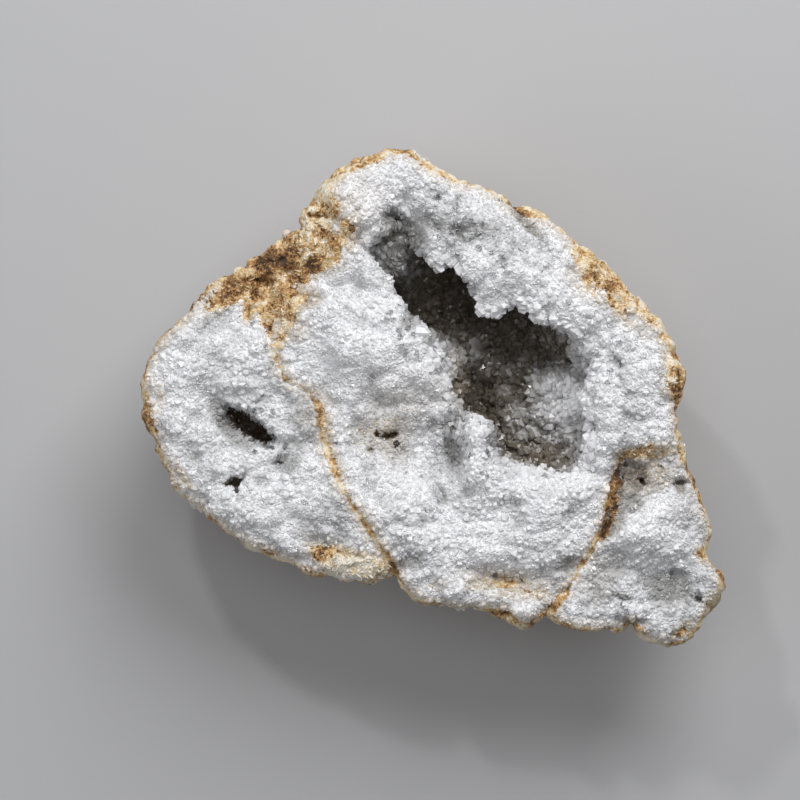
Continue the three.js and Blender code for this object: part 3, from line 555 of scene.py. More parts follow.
def hollow_point(angle, share):
    """A point of the hollow's wall, from 0 at the mouth to 1 at the middle of the floor. Above
    the widest line the mouth opens out, and below it the wall is a quarter of an ellipse."""
    off = angle - CHAMBER["turn"]
    short = np.where(np.sin(off) > 0, CHAMBER["roof_side"], CHAMBER["bank_side"])
    ellipse = 1 / np.hypot(np.cos(off) / CHAMBER["long"], np.sin(off) / short)
    widest = np.maximum(ellipse, mouth_radius(angle) + 1)
    opening = mouth_radius(angle) + (widest - mouth_radius(angle)) * smooth(share, 0, LIP)
    turn = np.clip((share - CHAMBER_AT) / (1 - CHAMBER_AT), 0, 1) * math.pi / 2
    upper = share < CHAMBER_AT
    radius = np.where(upper, opening, widest * np.cos(turn))
    top = face_point(angle, np.zeros_like(share))[..., 2]
    wall_z = top + (CHAMBER_HEIGHT - top) * np.clip(share / CHAMBER_AT, 0, 1)
    floor_z = CHAMBER_HEIGHT + (HOLLOW_FLOOR - CHAMBER_HEIGHT) * np.sin(turn)
    z = np.where(upper, wall_z, floor_z)
    x, y = around(angle, radius)
    along = CHAMBER["turn"]
    climb = (x - HOLLOW_CENTRE[0]) * math.cos(along) + (y - HOLLOW_CENTRE[1]) * math.sin(along)
    z = z + FLOOR_RISE * np.maximum(0, climb) * smooth(share, CHAMBER_AT, 1)
    return np.stack((x, y, z), -1)


def hollow_inward(angle, share):
    """The way into the hollow: level at its wall, turning up towards the middle of its floor."""
    turn = np.clip((share - CHAMBER_AT) / (1 - CHAMBER_AT), 0, 1) * math.pi / 2
    level = -np.cos(turn)
    return np.stack(np.broadcast_arrays(level * np.cos(angle), level * np.sin(angle), np.sin(turn)), -1)


# %% Helpers for a closed grid: even angles, normals, and the mesh
def even_angles(count):
    """Angles that share out the length of the outline and of the mouth evenly."""
    fine = np.linspace(0, TURN, 2881)
    length = np.zeros(len(fine))
    for radius, weight in ((outline_radius, 1.6), (mouth_radius, 1.0)):
        x, y = around(fine, radius(fine))
        length[1:] += weight * np.cumsum(np.hypot(np.diff(x), np.diff(y)))
    return np.interp(np.arange(count) / count * length[-1], length, fine)


def grid_normals(points, sign):
    """Unit normals of a grid that closes round its second axis."""
    round_way = np.roll(points, -1, 1) - np.roll(points, 1, 1)
    down_way = np.gradient(points, axis=0)
    normal = np.cross(round_way, down_way) * sign
    return normal / np.maximum(np.linalg.norm(normal, axis=-1, keepdims=True), 1e-9)


def closed_grid(name, rows, first, last):
    """A mesh from rows of equal count that closes round, with one point at each end."""
    count = rows.shape[1]
    points = np.vstack([rows.reshape(-1, 3), [first, last]]) * MM
    first_of_row = np.arange(rows.shape[0] - 1)[:, None] * count
    corner = first_of_row + np.arange(count)[None, :]
    beside = first_of_row + (np.arange(count)[None, :] + 1) % count
    quads = np.stack((corner, beside, beside + count, corner + count), -1).reshape(-1, 4)
    ring = np.arange(count)
    end = (rows.shape[0] - 1) * count
    caps = [np.stack((np.full(count, len(points) - 2), (ring + 1) % count, ring), -1)]
    caps.append(np.stack((np.full(count, len(points) - 1), end + ring, end + (ring + 1) % count), -1))
    mesh = bpy.data.meshes.new(name)
    mesh.from_pydata(points.tolist(), [], quads.tolist() + np.vstack(caps).tolist())
    return mesh


def add_piece(name, mesh, smooth_shaded):
    """Puts a mesh in the scene with its faces pointing outwards."""
    corners = np.zeros(len(mesh.vertices) * 3)
    mesh.vertices.foreach_get("co", corners)
    corners = corners.reshape(-1, 3)
    mesh.calc_loop_triangles()
    triangles = np.zeros(len(mesh.loop_triangles) * 3, int)
    mesh.loop_triangles.foreach_get("vertices", triangles)
    a, b, c = (corners[triangles.reshape(-1, 3)[:, n]] for n in range(3))
    volume = np.einsum("ij,ij->i", a, np.cross(b, c)).sum() / 6
    if volume < 0:
        mesh.flip_normals()
    mesh.polygons.foreach_set("use_smooth", [smooth_shaded] * len(mesh.polygons))
    piece = bpy.data.objects.new(name, mesh)
    bpy.context.scene.collection.objects.link(piece)
    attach(piece, "root")
    print(name, "has", len(triangles) // 3, "triangles,", round(abs(volume) * 1e9), "cubic millimetres")
    return piece


def keep_on_points(mesh, values, ends=None):
    """Stores one number a point under each name, for the materials to read. A closed grid has
    two points more than its rows, and their values are given, or are those of the last two."""
    for name, value in values.items():
        value = np.asarray(value, np.float32).ravel()
        if len(value) + 2 == len(mesh.vertices):
            value = np.concatenate([value, ends[name] if ends else value[-2:]]).astype(np.float32)
        attribute = mesh.attributes.new(name, "FLOAT", "POINT")
        attribute.data.foreach_set("value", value)


# %% [markdown]
# The rind shows on the face as a thin line at the outline and along the seams, and as broad
# stains. All three are kept as one number: how many millimetres a place lies from rind, below zero
# on it. The line's width wanders with smooth noise. Crystals read the same number, so that they
# keep off the rind and only its own fibres grow there. The lining and the pits are painted darker
# the deeper they lie below the face, as painted shade, and a few shifts paint parts of the lining
# lighter or darker than their depth gives.

# %% What the materials know about a place
# Shifts of the painted shade of the lining, which make parts of it lighter or darker than their depth.
SHADE_DEPTH_SHIFTS = [
    # across, along, half sizes, turn, millimetres less painted shade, below zero more
    (25.0, 3.5, 7.5, 6.5, -20, 7.0),  # less painted shade on the slope at the right
    (29.0, -4.0, 4.0, 6.0, 0, 5.0),
    (19.5, -13.2, 8.0, 3.2, 3, -14.0),  # and more painted shade in the corner below it
    (21.0, -4.0, 5.0, 3.4, 0, 2.5),
    (-11.0, 36.6, 4.6, 3.4, -30, -6.0),
    (-9.0, 31.0, 7.0, 4.5, -48, 4.0),  # less painted shade on the shelf at the upper end
    (5.5, 11.0, 4.0, 7.0, 10, 4.0),  # less painted shade on the slope in the middle
    (2.5, 23.5, 4.5, 3.5, -50, -7.0),  # more painted shade in the deepest hole
    (18.0, 15.5, 6.0, 2.5, -30, -3.0),
]


def rind_distance(x, y):
    """The least of three distances in plan: to the outline, to a seam, and to a stain, whose
    strength above one half counts as rind."""
    place = np.stack(np.broadcast_arrays(x, y, np.zeros_like(x)), -1)
    wide = 0.8 + 1.4 * smooth(noise(place, 17.0, 51, 2), 0.0, 0.42) + 0.8 * noise(place, 3.0, 52)
    edge = distance_to(x, y, EDGE_LINE) - wide
    seam_width = 0.5 + 0.6 * smooth(noise(place, 9.0, 53, 2), 0.0, 0.4) + 0.7 * noise(place, 2.5, 54)
    seam = seam_distance(x, y) - seam_width
    tan = patch_sum(x, y, 7)
    wander = 3.5 * noise(place, 8.0, 56, 2) + 5.0 * noise(place, 3.0, 55, 4)
    stain = 9.0 * (0.55 - tan) + wander * smooth(tan, 0.25, 0.6)
    return np.minimum(np.minimum(edge, seam), stain)


def marks(x, y, z):
    """Named values at points in plan and height."""
    # Painted shade: the depth below the face, made less or more by the shifts above and larger in the
    # pits, darkens the quartz.
    pale = sum(tint[5] * np.exp(-spread(x, y, tint)) for tint in SHADE_DEPTH_SHIFTS)
    pale = pale * smooth(face_height(x, y) - z, 2.0, 6.0)
    return {
        "rind_mm": rind_distance(x, y),
        "grey": patch_sum(x, y, 6),
        "tan": patch_sum(x, y, 7),
        "shade_depth_mm": np.maximum(face_height(x, y) - z - pale, 0) + 16 * smooth(pit_depth(x, y), 1.0, 3.5),
    }


# %% Work out the stone's skin and add its knobs
ROUND = 600
WALL_ROWS = np.array([0.85, 0.66, 0.5, 0.4, 0.33])
LIP_ROWS = np.linspace(0.28, 0, 13)[:-1]
FACE_ROWS = np.linspace(0, 1, 96)
BACK_ROWS = 1 - np.linspace(0, 1, 44)[1:-1] ** 1.35

angles = even_angles(ROUND)[None, :]
wall = hollow_point(angles, np.concatenate([WALL_ROWS, LIP_ROWS])[:, None] + 0 * angles)
face = face_point(angles, FACE_ROWS[:, None] + 0 * angles)
back = back_point(angles, BACK_ROWS[:, None] + 0 * angles)
skin = np.concatenate([wall, face, back])
wall_share = np.concatenate([WALL_ROWS, LIP_ROWS, np.zeros(len(face) + len(back))])[:, None]
zone = np.repeat([0, 1, 2], [len(wall), len(face), len(back)])
plan = skin[..., :2].copy()
normals = grid_normals(skin, 1)
outward = normals[len(wall) + 40, :, 2].mean() > 0
normals = normals if outward else -normals

on_back = (zone == 2)[:, None]
edge_mm = distance_to(skin[..., 0], skin[..., 1], EDGE_LINE)
rindy = np.where(on_back, 1, 1 - smooth(rind_distance(plan[..., 0], plan[..., 1]), -0.3, 0.3))
broad = np.where(on_back, 0, 1.6 * knobs(skin, 13.0, 6) - 0.7)
coarse = np.where(on_back, 1.3 * knobs(skin, 8.0, 1), 0.9 * knobs(skin, 5.5, 2)) - 0.6 + broad
medium = np.where(on_back, 0.5 * knobs(skin, 3.0, 3), 0.85 * knobs(skin, 3.0, 4) - 0.15)
stained = smooth(patch_sum(plan[..., 0], plan[..., 1], 7), 0.4, 0.8)
crags = (1.2 + 1.4 * stained) * (0.2 - np.abs(noise(skin, 2.8, 14, 3))) * rindy
rough = 0.8 * noise(skin, 5.0, 5) + crags
calm = np.where(on_back, smooth(edge_mm, 0, 6), 1) * np.where(skin[..., 2] < 3, 0.3, 1)
push = (coarse * smooth(edge_mm, 0, 3) + medium + rough) * calm
stone_rows = skin + normals * push[..., None]
lifted = np.where((zone < 2)[:, None], 1 - smooth(wall_share, 0, 0.33), 0)
seam_mm = seam_distance(plan[..., 0], plan[..., 1])
lift = patch_sum(plan[..., 0], plan[..., 1], 5) - dug_depth(plan[..., 0], plan[..., 1])
stone_rows[..., 2] += lifted * (lift - 0.6 * np.exp(-((seam_mm / 0.8) ** 2)))
stone_rows[..., 2] = np.where(on_back, np.maximum(stone_rows[..., 2], 0), stone_rows[..., 2])
print("highest point of the skin:", round(float(stone_rows[..., 2].max()), 1), "mm")

# %% Put the stone in the scene in place of its plain solid
floor_point = hollow_point(np.array(0.0), np.array(1.0))
stone_mesh = closed_grid("geode_skin", stone_rows, floor_point, (0, 0, 0))
known = marks(stone_rows[..., 0], stone_rows[..., 1], stone_rows[..., 2])
known["rind_mm"] = np.where(on_back, -3.0, known["rind_mm"])
# How low a place lies between knobs: the materials paint low places greyer and darker, as painted shade.
known["low"] = 1 - smooth(push, -0.9, 1.4)
ends = {"rind_mm": (20, -3), "grey": (0, 0), "tan": (0, 0), "shade_depth_mm": (30, 0), "low": (0, 0)}
keep_on_points(stone_mesh, known, ends)
stone = add_piece("geode_skin", stone_mesh, True)
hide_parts("geode_stone")

# %% [markdown]
# ## The crust of the hollow
#
# The hollow is lined by a crust with knobs of crystals on it. Its colour turns greyer and browner
# the deeper it lies, partly for its clearer crystals and partly as painted shade. It is a shell: the
# outer side lies against the stone, and the inner side stands a few millimetres inside it, with
# knobs that lean into the hollow. On two sides the crust comes out from under the mouth as a slope,
# and swells raise shelves on its floor or deepen it.

# %% Work out the crust's inner and outer sides
CRUST = {"gap": 0.9, "thickness": 2.5, "lump": 2.0, "lump_size": 8.0}
HOLLOW_SWELLS = [
    # across, along, half sizes, turn, rise
    (-10.5, 37.5, 5.0, 3.4, -20, 9.0),  # high shelf at the upper end
    (-12.5, 32.5, 6.0, 3.2, -50, 8.0),  # lower shelf beside it
    (2.0, 23.0, 5.0, 4.5, -50, -3.5),  # the deepest hole
    (5.5, 12.0, 4.0, 6.0, 10, 3.5),  # slope in the middle
    (20.0, 14.0, 9.0, 4.0, -42, -3.0),  # shade under the roof
    (9.5, -1.0, 3.0, 7.5, -14, -5.0),  # valley at the foot of the bank
    (25.5, 3.0, 5.0, 4.5, -20, 3.0),
    (20.0, -13.6, 8.0, 2.8, 3, -7.0),  # shaded corner at the lower right
]
SLOPES = [(150, 240, 5.5), (302, 360, 6.0)]  # from and to which angle, and how far they come out


def crust_depth(angle, share):
    """How far the crust's inner side stands inside the wall: a thickness and round lumps, and on
    two sides enough to make a slope that comes out from under the mouth."""
    at = hollow_point(angle, share)
    leaning = (at[..., 0] + 0.6 * at[..., 2], at[..., 1] - 0.8 * at[..., 2])
    lump = lumps(*leaning, CRUST["lump_size"], 11)
    turn = np.degrees(angle) % 360
    thin = 1 - 0.7 * smooth(turn, 230, 250) * (1 - smooth(turn, 278, 300))
    depth = CRUST["gap"] + (CRUST["thickness"] + CRUST["lump"] * lump) * smooth(share, 0.02, 0.3) * thin
    wall_radius = np.hypot(at[..., 0] - HOLLOW_CENTRE[0], at[..., 1] - HOLLOW_CENTRE[1])
    for start, stop, reach in SLOPES:
        side = smooth(turn, start, start + 30) * (1 - smooth(turn, stop - 30, stop))
        slope_radius = mouth_radius(angle) + 1.2 - reach * smooth(share, 0.04, 0.5)
        depth = np.maximum(depth, (wall_radius - slope_radius) * side * smooth(share, 0.0, 0.05))
    return depth


crust_angles = even_angles(480)[None, :]
inner_shares = np.linspace(0.05, 0.97, 84)[:, None] + 0 * crust_angles
outer_shares = np.array([0.9, 0.75, 0.6, 0.48, 0.38, 0.28, 0.18, 0.1])[:, None] + 0 * crust_angles
outer = hollow_point(crust_angles, outer_shares) + hollow_inward(crust_angles, outer_shares) * CRUST["gap"]
inner = hollow_point(crust_angles, inner_shares)
inner += hollow_inward(crust_angles, inner_shares) * crust_depth(crust_angles, inner_shares)[..., None]
for swell in HOLLOW_SWELLS:
    near_swell = np.exp(-spread(inner[..., 0], inner[..., 1], swell))
    inner[..., 2] += swell[5] * near_swell * smooth(inner_shares, 0.36, 0.5)
into = grid_normals(inner, 1)
into = into if into[-20, :, 2].mean() > 0 else -into
bulge = 2.4 * knobs(inner, 5.4, 7) + 1.0 * knobs(inner, 2.5, 8) + 0.9 * noise(inner, 3.0, 9) - 0.4
bulge = bulge * smooth(inner_shares, 0.05, 0.25)
inner = inner + into * bulge[..., None]
crust_rows = np.concatenate([outer, inner])
outer_end = hollow_point(np.array(0.0), np.array(1.0)) + (0, 0, CRUST["gap"])
inner_end = inner[-1].mean(0)
crust_mesh = closed_grid("hollow_crust", crust_rows, outer_end, inner_end)
known = marks(crust_rows[..., 0], crust_rows[..., 1], crust_rows[..., 2])
# How low a place lies between knobs: the materials paint low places greyer and darker, as painted shade.
known["low"] = np.concatenate([np.ones(outer.shape[:2]), 1 - smooth(bulge, 0.2, 2.2)])
keep_on_points(crust_mesh, known)
crust = add_piece("hollow_crust", crust_mesh, True)
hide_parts("hollow_crystals")

# %% [markdown]
# ## The crust of the pocket
#
# The left nodule's pocket is a narrow oval hole with the same kind of lining. It is small enough
# for a bowl of a few rings: an outer oval, and an inner one pushed in and out by small knobs.

# %% Work out the pocket's crust
def pocket_ring(angle, share, shrink, depth):
    """A point of an oval bowl: share 0 at the rim and 1 at the middle of the floor."""
    turn = math.radians(POCKET["turn"])
    reach = np.cos(share * math.pi / 2) ** 0.55
    u = (POCKET["long"] - shrink) * reach * np.cos(angle)
    v = (POCKET["short"] - shrink) * reach * np.sin(angle)
    x = POCKET["centre"][0] + u * math.cos(turn) - v * math.sin(turn)
    y = POCKET["centre"][1] + u * math.sin(turn) + v * math.cos(turn)
    top = face_height(*POCKET["centre"]) - 3.6
    return np.stack((x, y, top - depth * np.sin(share * math.pi / 2)), -1)


pocket_angles = np.linspace(0, TURN, 120, endpoint=False)[None, :]
shell_shares = np.linspace(0.95, 0, 12)[:, None] + 0 * pocket_angles
lining_shares = np.linspace(0, 0.995, 34)[:, None] + 0 * pocket_angles
shell = pocket_ring(pocket_angles, shell_shares, 0.2, 7.6)
lining = pocket_ring(pocket_angles, lining_shares, 1.1, 6.2)
lining_normals = grid_normals(lining, 1)
lining_normals = lining_normals if lining_normals[-4, :, 2].mean() > 0 else -lining_normals
pocket_bulge = 0.7 * knobs(lining, 1.8, 12) + 0.3 * noise(lining, 1.2, 13)
lining = lining + lining_normals * pocket_bulge[..., None]
pocket_rows = np.concatenate([shell, lining])
pocket_mesh = closed_grid("pocket_crust", pocket_rows, shell[0].mean(0), lining[-1].mean(0))
known = marks(pocket_rows[..., 0], pocket_rows[..., 1], pocket_rows[..., 2])
known["low"] = np.full(pocket_rows.shape[:2], 0.5)
keep_on_points(pocket_mesh, known)
pocket = add_piece("pocket_crust", pocket_mesh, True)
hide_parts("pocket_crystals")

# %% [markdown]
# ## Crystals
#
# A quartz crystal is a six-sided prism that ends in six faces meeting at a tip. One crystal is
# one or two rings of points and a tip, and thousands of them are made at once by stretching and
# turning the same rings with whole arrays. Their places are drawn at random over a grid surface,
# more where a cell is larger, and thinned so that only one stays in each small cube. The face
# has small ones all over, larger ones here and there, and clumps of the largest along the mouth.
# On the broad stains the rind has grown thin fibres, which are long crystals that lie flat.

# %% Draw places on a surface
def scatter(points, normals, weight, low, spacing, seed):
    """Feet, normals and lowness at random places of a grid, at most one in each cube of the
    spacing. A cell is drawn with a chance that goes with its area and its weight."""
    beside = np.roll(points, -1, 1)
    right, down = beside[:-1] - points[:-1], points[1:] - points[:-1]
    twist = beside[1:] - beside[:-1] - down
    area = np.linalg.norm(np.cross(right, down), axis=-1) * weight[:-1]
    draw = np.random.default_rng(seed)
    count = int(5 * area.sum() / spacing**2)
    cell = draw.choice(area.size, count, p=(area / area.sum()).ravel())
    u, v = draw.random((2, count, 1))
    foot = points[:-1].reshape(-1, 3)[cell] + right.reshape(-1, 3)[cell] * u
    foot = foot + down.reshape(-1, 3)[cell] * v + twist.reshape(-1, 3)[cell] * u * v
    cube = np.floor(foot / spacing + draw.random(3)).astype(int)
    _, first = np.unique(cube, axis=0, return_index=True)
    first.sort()
    return foot[first], normals[:-1].reshape(-1, 3)[cell][first], low[:-1].ravel()[cell][first]


# %% Grow a crystal on each place
def crystal_mesh(name, places, radius, length, lean, sunk, seed, prism=True, sides=6, flat=0.0):
    """One mesh of crystals. A ring of points lies at the root and at the shoulder of each, and
    the tip stands off centre. Without its prism a crystal is a root ring and a tip alone, and the
    smallest ones make do with five sides. Flat ones lie along the surface they stand on."""
    place, outwards, low = places
    draw = np.random.default_rng(seed)
    count = len(place)
    way = outwards + draw.normal(0, lean, (count, 3))
    way = way - flat * outwards * np.einsum("ij,ij->i", way, outwards)[:, None]
    way /= np.linalg.norm(way, axis=1, keepdims=True)
    side = np.cross(way, draw.normal(0, 1, (count, 3)))
    side /= np.linalg.norm(side, axis=1, keepdims=True)
    other = np.cross(way, side)
    turn = np.arange(sides) / sides * TURN
    along_side = side[:, None, :] * np.cos(turn)[None, :, None]
    ring = along_side + other[:, None, :] * np.sin(turn)[None, :, None]
    uneven = 1 + 0.22 * draw.normal(0, 1, (count, sides, 1)).clip(-1.5, 1.5)
    ring = ring * radius[:, None, None] * uneven
    foot = place - way * (sunk * length)[:, None]
    tall = (length * (1 + sunk))[:, None]
    aside = side * draw.normal(0, 0.25, (count, 1)) + other * draw.normal(0, 0.25, (count, 1))
    tip = foot + way * tall + aside * radius[:, None]
    root = foot[:, None, :] + ring
    steps = np.arange(sides)
    after = (steps + 1) % sides
    if prism:
        shoulder_at = draw.uniform(0.5, 0.75, (count, 1)) * tall
        shoulder = (foot + way * shoulder_at)[:, None, :] + ring * 0.94
        layout = np.concatenate([root, shoulder, tip[:, None, :]], 1)
        walls = np.stack((steps, after, after + sides, steps + sides), -1)
        caps = np.stack((steps + sides, after + sides, np.full(sides, 2 * sides)), -1)
    else:
        layout = np.concatenate([root, tip[:, None, :]], 1)
        walls = None
        caps = np.stack((steps, after, np.full(sides, sides)), -1)
    size = layout.shape[1]
    start = (np.arange(count) * size)[:, None, None]
    faces = (start + caps).reshape(-1, 3).tolist()
    faces += (start[:, :, 0] + steps[::-1]).tolist()
    if walls is not None:
        faces += (start + walls).reshape(-1, 4).tolist()
    mesh = bpy.data.meshes.new(name)
    mesh.from_pydata((layout.reshape(-1, 3) * MM).tolist(), [], faces)
    known = marks(place[:, 0], place[:, 1], place[:, 2])
    known["low"] = low
    known["tone"] = draw.random(count)
    keep_on_points(mesh, {key: np.repeat(value, size) for key, value in known.items()})
    return mesh


def grow(name, places, radii, lengths, lean, sunk, seed, prism=True, sides=6, flat=0.0):
    """A piece of crystals whose radius, and length over radius, lie between two values."""
    draw = np.random.default_rng(seed + 500)
    radius = draw.uniform(*radii, len(places[0]))
    length = radius * draw.uniform(*lengths, len(radius))
    mesh = crystal_mesh(name, places, radius, length, lean, sunk, seed, prism, sides, flat)
    return add_piece(name, mesh, False)


# %% Grow the sugary crystals of the face, nodule by nodule
stone_normals = grid_normals(stone_rows, 1)
stone_normals = stone_normals if stone_normals[len(wall) + 40, :, 2].mean() > 0 else -stone_normals
on_lip = (zone == 0) & (np.arange(len(zone)) >= len(WALL_ROWS))
growing = ((zone == 1) | on_lip)[:, None]
stone_x, stone_y = stone_rows[..., 0], stone_rows[..., 1]
bare = 1 - smooth(rind_distance(stone_x, stone_y), 0.0, 0.5)
dug = smooth(dug_depth(stone_x, stone_y), 4.0, 5.0) * (pit_depth(stone_x, stone_y) < 0.5)
white = growing * (1 - bare) * (1 - 0.97 * dug) + 1e-9
# How low a place lies between knobs: crystals there are painted greyer, as painted shade.
low = 1 - smooth(push, -0.9, 1.4)
crowded = smooth(noise(stone_rows, 9.0, 34), -0.3, 0.4)


def side_of(x, y, line):
    """Whether points lie to the right of a line that runs downwards, by its x at their y."""
    corners = np.array(line)
    order = np.argsort(corners[:, 1])
    return x > np.interp(y, corners[order, 1], corners[order, 0])


is_left = ~side_of(stone_x, stone_y, LEFT_SEAM)
is_small = side_of(stone_x, stone_y, RIGHT_SEAM[2:]) & (stone_y < -10.3)
is_middle = ~is_left & ~is_small
PARTS = [("middle_grains", is_middle), ("left_grains", is_left), ("small_grains", is_small)]
grain_pieces = []
for number, (name, inside) in enumerate(PARTS):
    places = scatter(stone_rows, stone_normals, white * inside + 1e-9, low, 0.72, 31 + number)
    grain_pieces.append(grow(name, places, (0.4, 0.62), (0.35, 0.75), 0.3, 0.4, 31 + number, False, 5))
places = scatter(stone_rows, stone_normals, white * crowded, low, 1.75, 35)
points = grow("face_points", places, (0.45, 0.85), (0.6, 1.2), 0.35, 0.6, 36)

# %% Grow larger crystals in clumps along the mouth, and fibres on the rind
share_of_row = np.concatenate([np.full(len(wall), -1.0), FACE_ROWS, np.full(len(back), 9.0)])[:, None]
at_mouth = on_lip[:, None] * (wall_share < 0.12) | (share_of_row >= 0) & (share_of_row < 0.06)
clumps = smooth(noise(stone_rows, 5.0, 45), -0.15, 0.25)
places = scatter(stone_rows, stone_normals, at_mouth * clumps + 1e-9, low, 1.5, 46)
lip_points = grow("lip_points", places, (0.7, 1.4), (0.8, 1.5), 0.45, 0.5, 47)

on_stain = (zone == 1)[:, None] * smooth(-rind_distance(stone_x, stone_y), -0.4, 0.4)
on_stain = on_stain * smooth(patch_sum(stone_x, stone_y, 7), 0.35, 0.6) * smooth(edge_mm, 0.8, 2.0)
on_stain = on_stain * smooth(noise(stone_rows, 4.0, 58), -0.25, 0.15)
places = scatter(stone_rows, stone_normals, on_stain + 1e-9, low, 0.62, 48)
fibres = grow("rind_fibres", places, (0.1, 0.24), (2.5, 5.5), 1.0, 0.5, 49, True, 5, 0.8)

# %% [markdown]
# Here and there a crystal is quite clear, and shows as a dark glassy spot with a bright glint.
# They stand mostly at the hollow's mouth and in a few nests that the photograph shows.

# %% Grow the clear crystals
CLEAR_NESTS = [
    # across, along, reach
    (-9.5, 17.0, 4.0), (33.0, 9.5, 4.5), (11.0, -9.0, 5.0), (42.0, -45.0, 3.5),
    (18.0, -3.0, 4.0), (-40.0, -4.0, 4.0), (6.0, 37.0, 4.0), (-2.0, 12.0, 4.0),
]
nested = np.zeros(stone_x.shape)
for x, y, reach in CLEAR_NESTS:
    nested += np.exp(-((stone_x - x) ** 2 + (stone_y - y) ** 2) / reach**2)
places = scatter(stone_rows, stone_normals, white * (nested * 0.35 + 0.006), low, 2.6, 37)
clear = grow("clear_points", places, (0.5, 0.8), (1.1, 1.7), 0.45, 0.4, 38)

# %% Grow the crystals of the hollow and of the pocket
crust_normals = grid_normals(inner, 1)
crust_normals = crust_normals if crust_normals[-20, :, 2].mean() > 0 else -crust_normals
# Low places between the crust's knobs: crystals there are painted greyer, as painted shade.
crust_low = 1 - smooth(bulge, 0.2, 2.2)
places = scatter(inner, crust_normals, np.ones(inner.shape[:2]), crust_low, 1.35, 41)
hollow_points = grow("hollow_points", places, (0.55, 1.05), (1.0, 1.8), 0.4, 0.6, 42)

lining_way = grid_normals(lining, 1)
lining_way = lining_way if lining_way[-4, :, 2].mean() > 0 else -lining_way
everywhere = np.ones(lining.shape[:2])
places = scatter(lining, lining_way, everywhere, 0.5 * everywhere, 0.85, 43)
pocket_points = grow("pocket_points", places, (0.3, 0.5), (1.0, 1.8), 0.4, 0.6, 44)

# %% [markdown]
# ## Finishes
#
# Three surfaces show: milky quartz, clear quartz and tan rind. The first and the last are colour
# recipes used by several materials, so each is a node group that puts out a colour, a roughness
# and a height. The Principled shader stays in the material, with its constants on its sockets.

# %% Small helpers for node trees
class Tree:
    """Adds nodes to a tree and joins them, so that a recipe reads as a list of steps."""

    def __init__(self, tree):
        self.tree = tree

    def node(self, kind, **settings):
        made = self.tree.nodes.new(kind)
        for name, value in settings.items():
            setattr(made, name, value)
        return made

    def join(self, source, target):
        self.tree.links.new(source, target)

    def put(self, value, socket):
        """Joins a socket, or sets a constant."""
        if isinstance(value, bpy.types.NodeSocket):
            self.join(value, socket)
        else:
            socket.default_value = value

    def math(self, operation, a, b=0.0, c=0.0, clamp=False):
        made = self.node("ShaderNodeMath", operation=operation, use_clamp=clamp)
        for value, socket in zip((a, b, c), made.inputs):
            self.put(value, socket)
        return made.outputs[0]

    def fade(self, value, low, high, start=0.0, end=1.0):
        """Smoothly from start below low to end above high."""
        made = self.node("ShaderNodeMapRange", interpolation_type="SMOOTHSTEP", clamp=True)
        for number, socket in zip((value, low, high, start, end), made.inputs):
            self.put(number, socket)
        return made.outputs[0]

    def mix(self, share, a, b, blend="MIX"):
        made = self.node("ShaderNodeMix", data_type="RGBA", blend_type=blend)
        self.put(share, made.inputs[0])
        self.put(a, made.inputs[6])
        self.put(b, made.inputs[7])
        return made.outputs[2]

    def noise(self, place, scale, detail=4.0, roughness=0.6, distortion=0.0):
        made = self.node("ShaderNodeTexNoise")
        self.put(place, made.inputs["Vector"])
        made.inputs["Scale"].default_value = scale
        made.inputs["Detail"].default_value = detail
        made.inputs["Roughness"].default_value = roughness
        made.inputs["Distortion"].default_value = distortion
        return made.outputs["Fac"]

    def cells(self, place, scale, feature="F1"):
        made = self.node("ShaderNodeTexVoronoi", feature=feature)
        self.put(place, made.inputs["Vector"])
        made.inputs["Scale"].default_value = scale
        return made.outputs["Distance"]

    def mark(self, name):
        """A number kept on the mesh."""
        made = self.node("ShaderNodeAttribute", attribute_name=name)
        return made.outputs["Fac"]


def new_group(name, inputs, outputs):
    """An empty node group with named sockets. Returns the tree and its two end nodes."""
    group = bpy.data.node_groups.new(name, "ShaderNodeTree")
    for label, kind in inputs:
        group.interface.new_socket(name=label, in_out="INPUT", socket_type=kind)
    for label, kind in outputs:
        group.interface.new_socket(name=label, in_out="OUTPUT", socket_type=kind)
    tree = Tree(group)
    return tree, tree.node("NodeGroupInput"), tree.node("NodeGroupOutput")


FLOAT, COLOUR, VECTOR = "NodeSocketFloat", "NodeSocketColor", "NodeSocketVector"
FINISH = [("Color", COLOUR), ("Roughness", FLOAT), ("Height", FLOAT)]

# %% [markdown]
# Milky quartz is white with faint grey clouds. Where a patch is grey the white gives way to the
# colour of clear quartz over shade, partly painted shade, and low places between knobs are
# painted greyer, as painted shade. Deep in the hollow and in the pits it turns to a dim brown
# grey, which is painted shade.

# %% The recipe of quartz
sockets = [("Place", VECTOR), ("Grey", FLOAT), ("Low", FLOAT), ("Deep", FLOAT)]
sockets += [("Shade", COLOUR), ("Tone", FLOAT)]
tree, given, result = new_group("quartz_finish", sockets, FINISH)
clouds = tree.noise(given.outputs["Place"], 170, 5, 0.65)
specks = tree.noise(given.outputs["Place"], 1300, 3, 0.7)
# The grey mark is partly clear quartz and partly painted shade, and lessens the grey as painted light
# where it is below zero.
greyness = tree.math("ADD", given.outputs["Grey"], tree.fade(clouds, 0.42, 0.68, -0.06, 0.22))
# Painted shade: low places turn greyer.
greyness = tree.math("ADD", greyness, tree.fade(given.outputs["Low"], 0.35, 1.0, -0.05, 0.3))
greyness = tree.math("ADD", greyness, tree.fade(given.outputs["Tone"], 0.0, 1.0, -0.06, 0.1))
greyness = tree.math("ADD", greyness, tree.fade(specks, 0.35, 0.65, -0.05, 0.08), clamp=True)
pale = tree.mix(greyness, (0.9, 0.9, 0.92, 1), (0.36, 0.358, 0.352, 1))
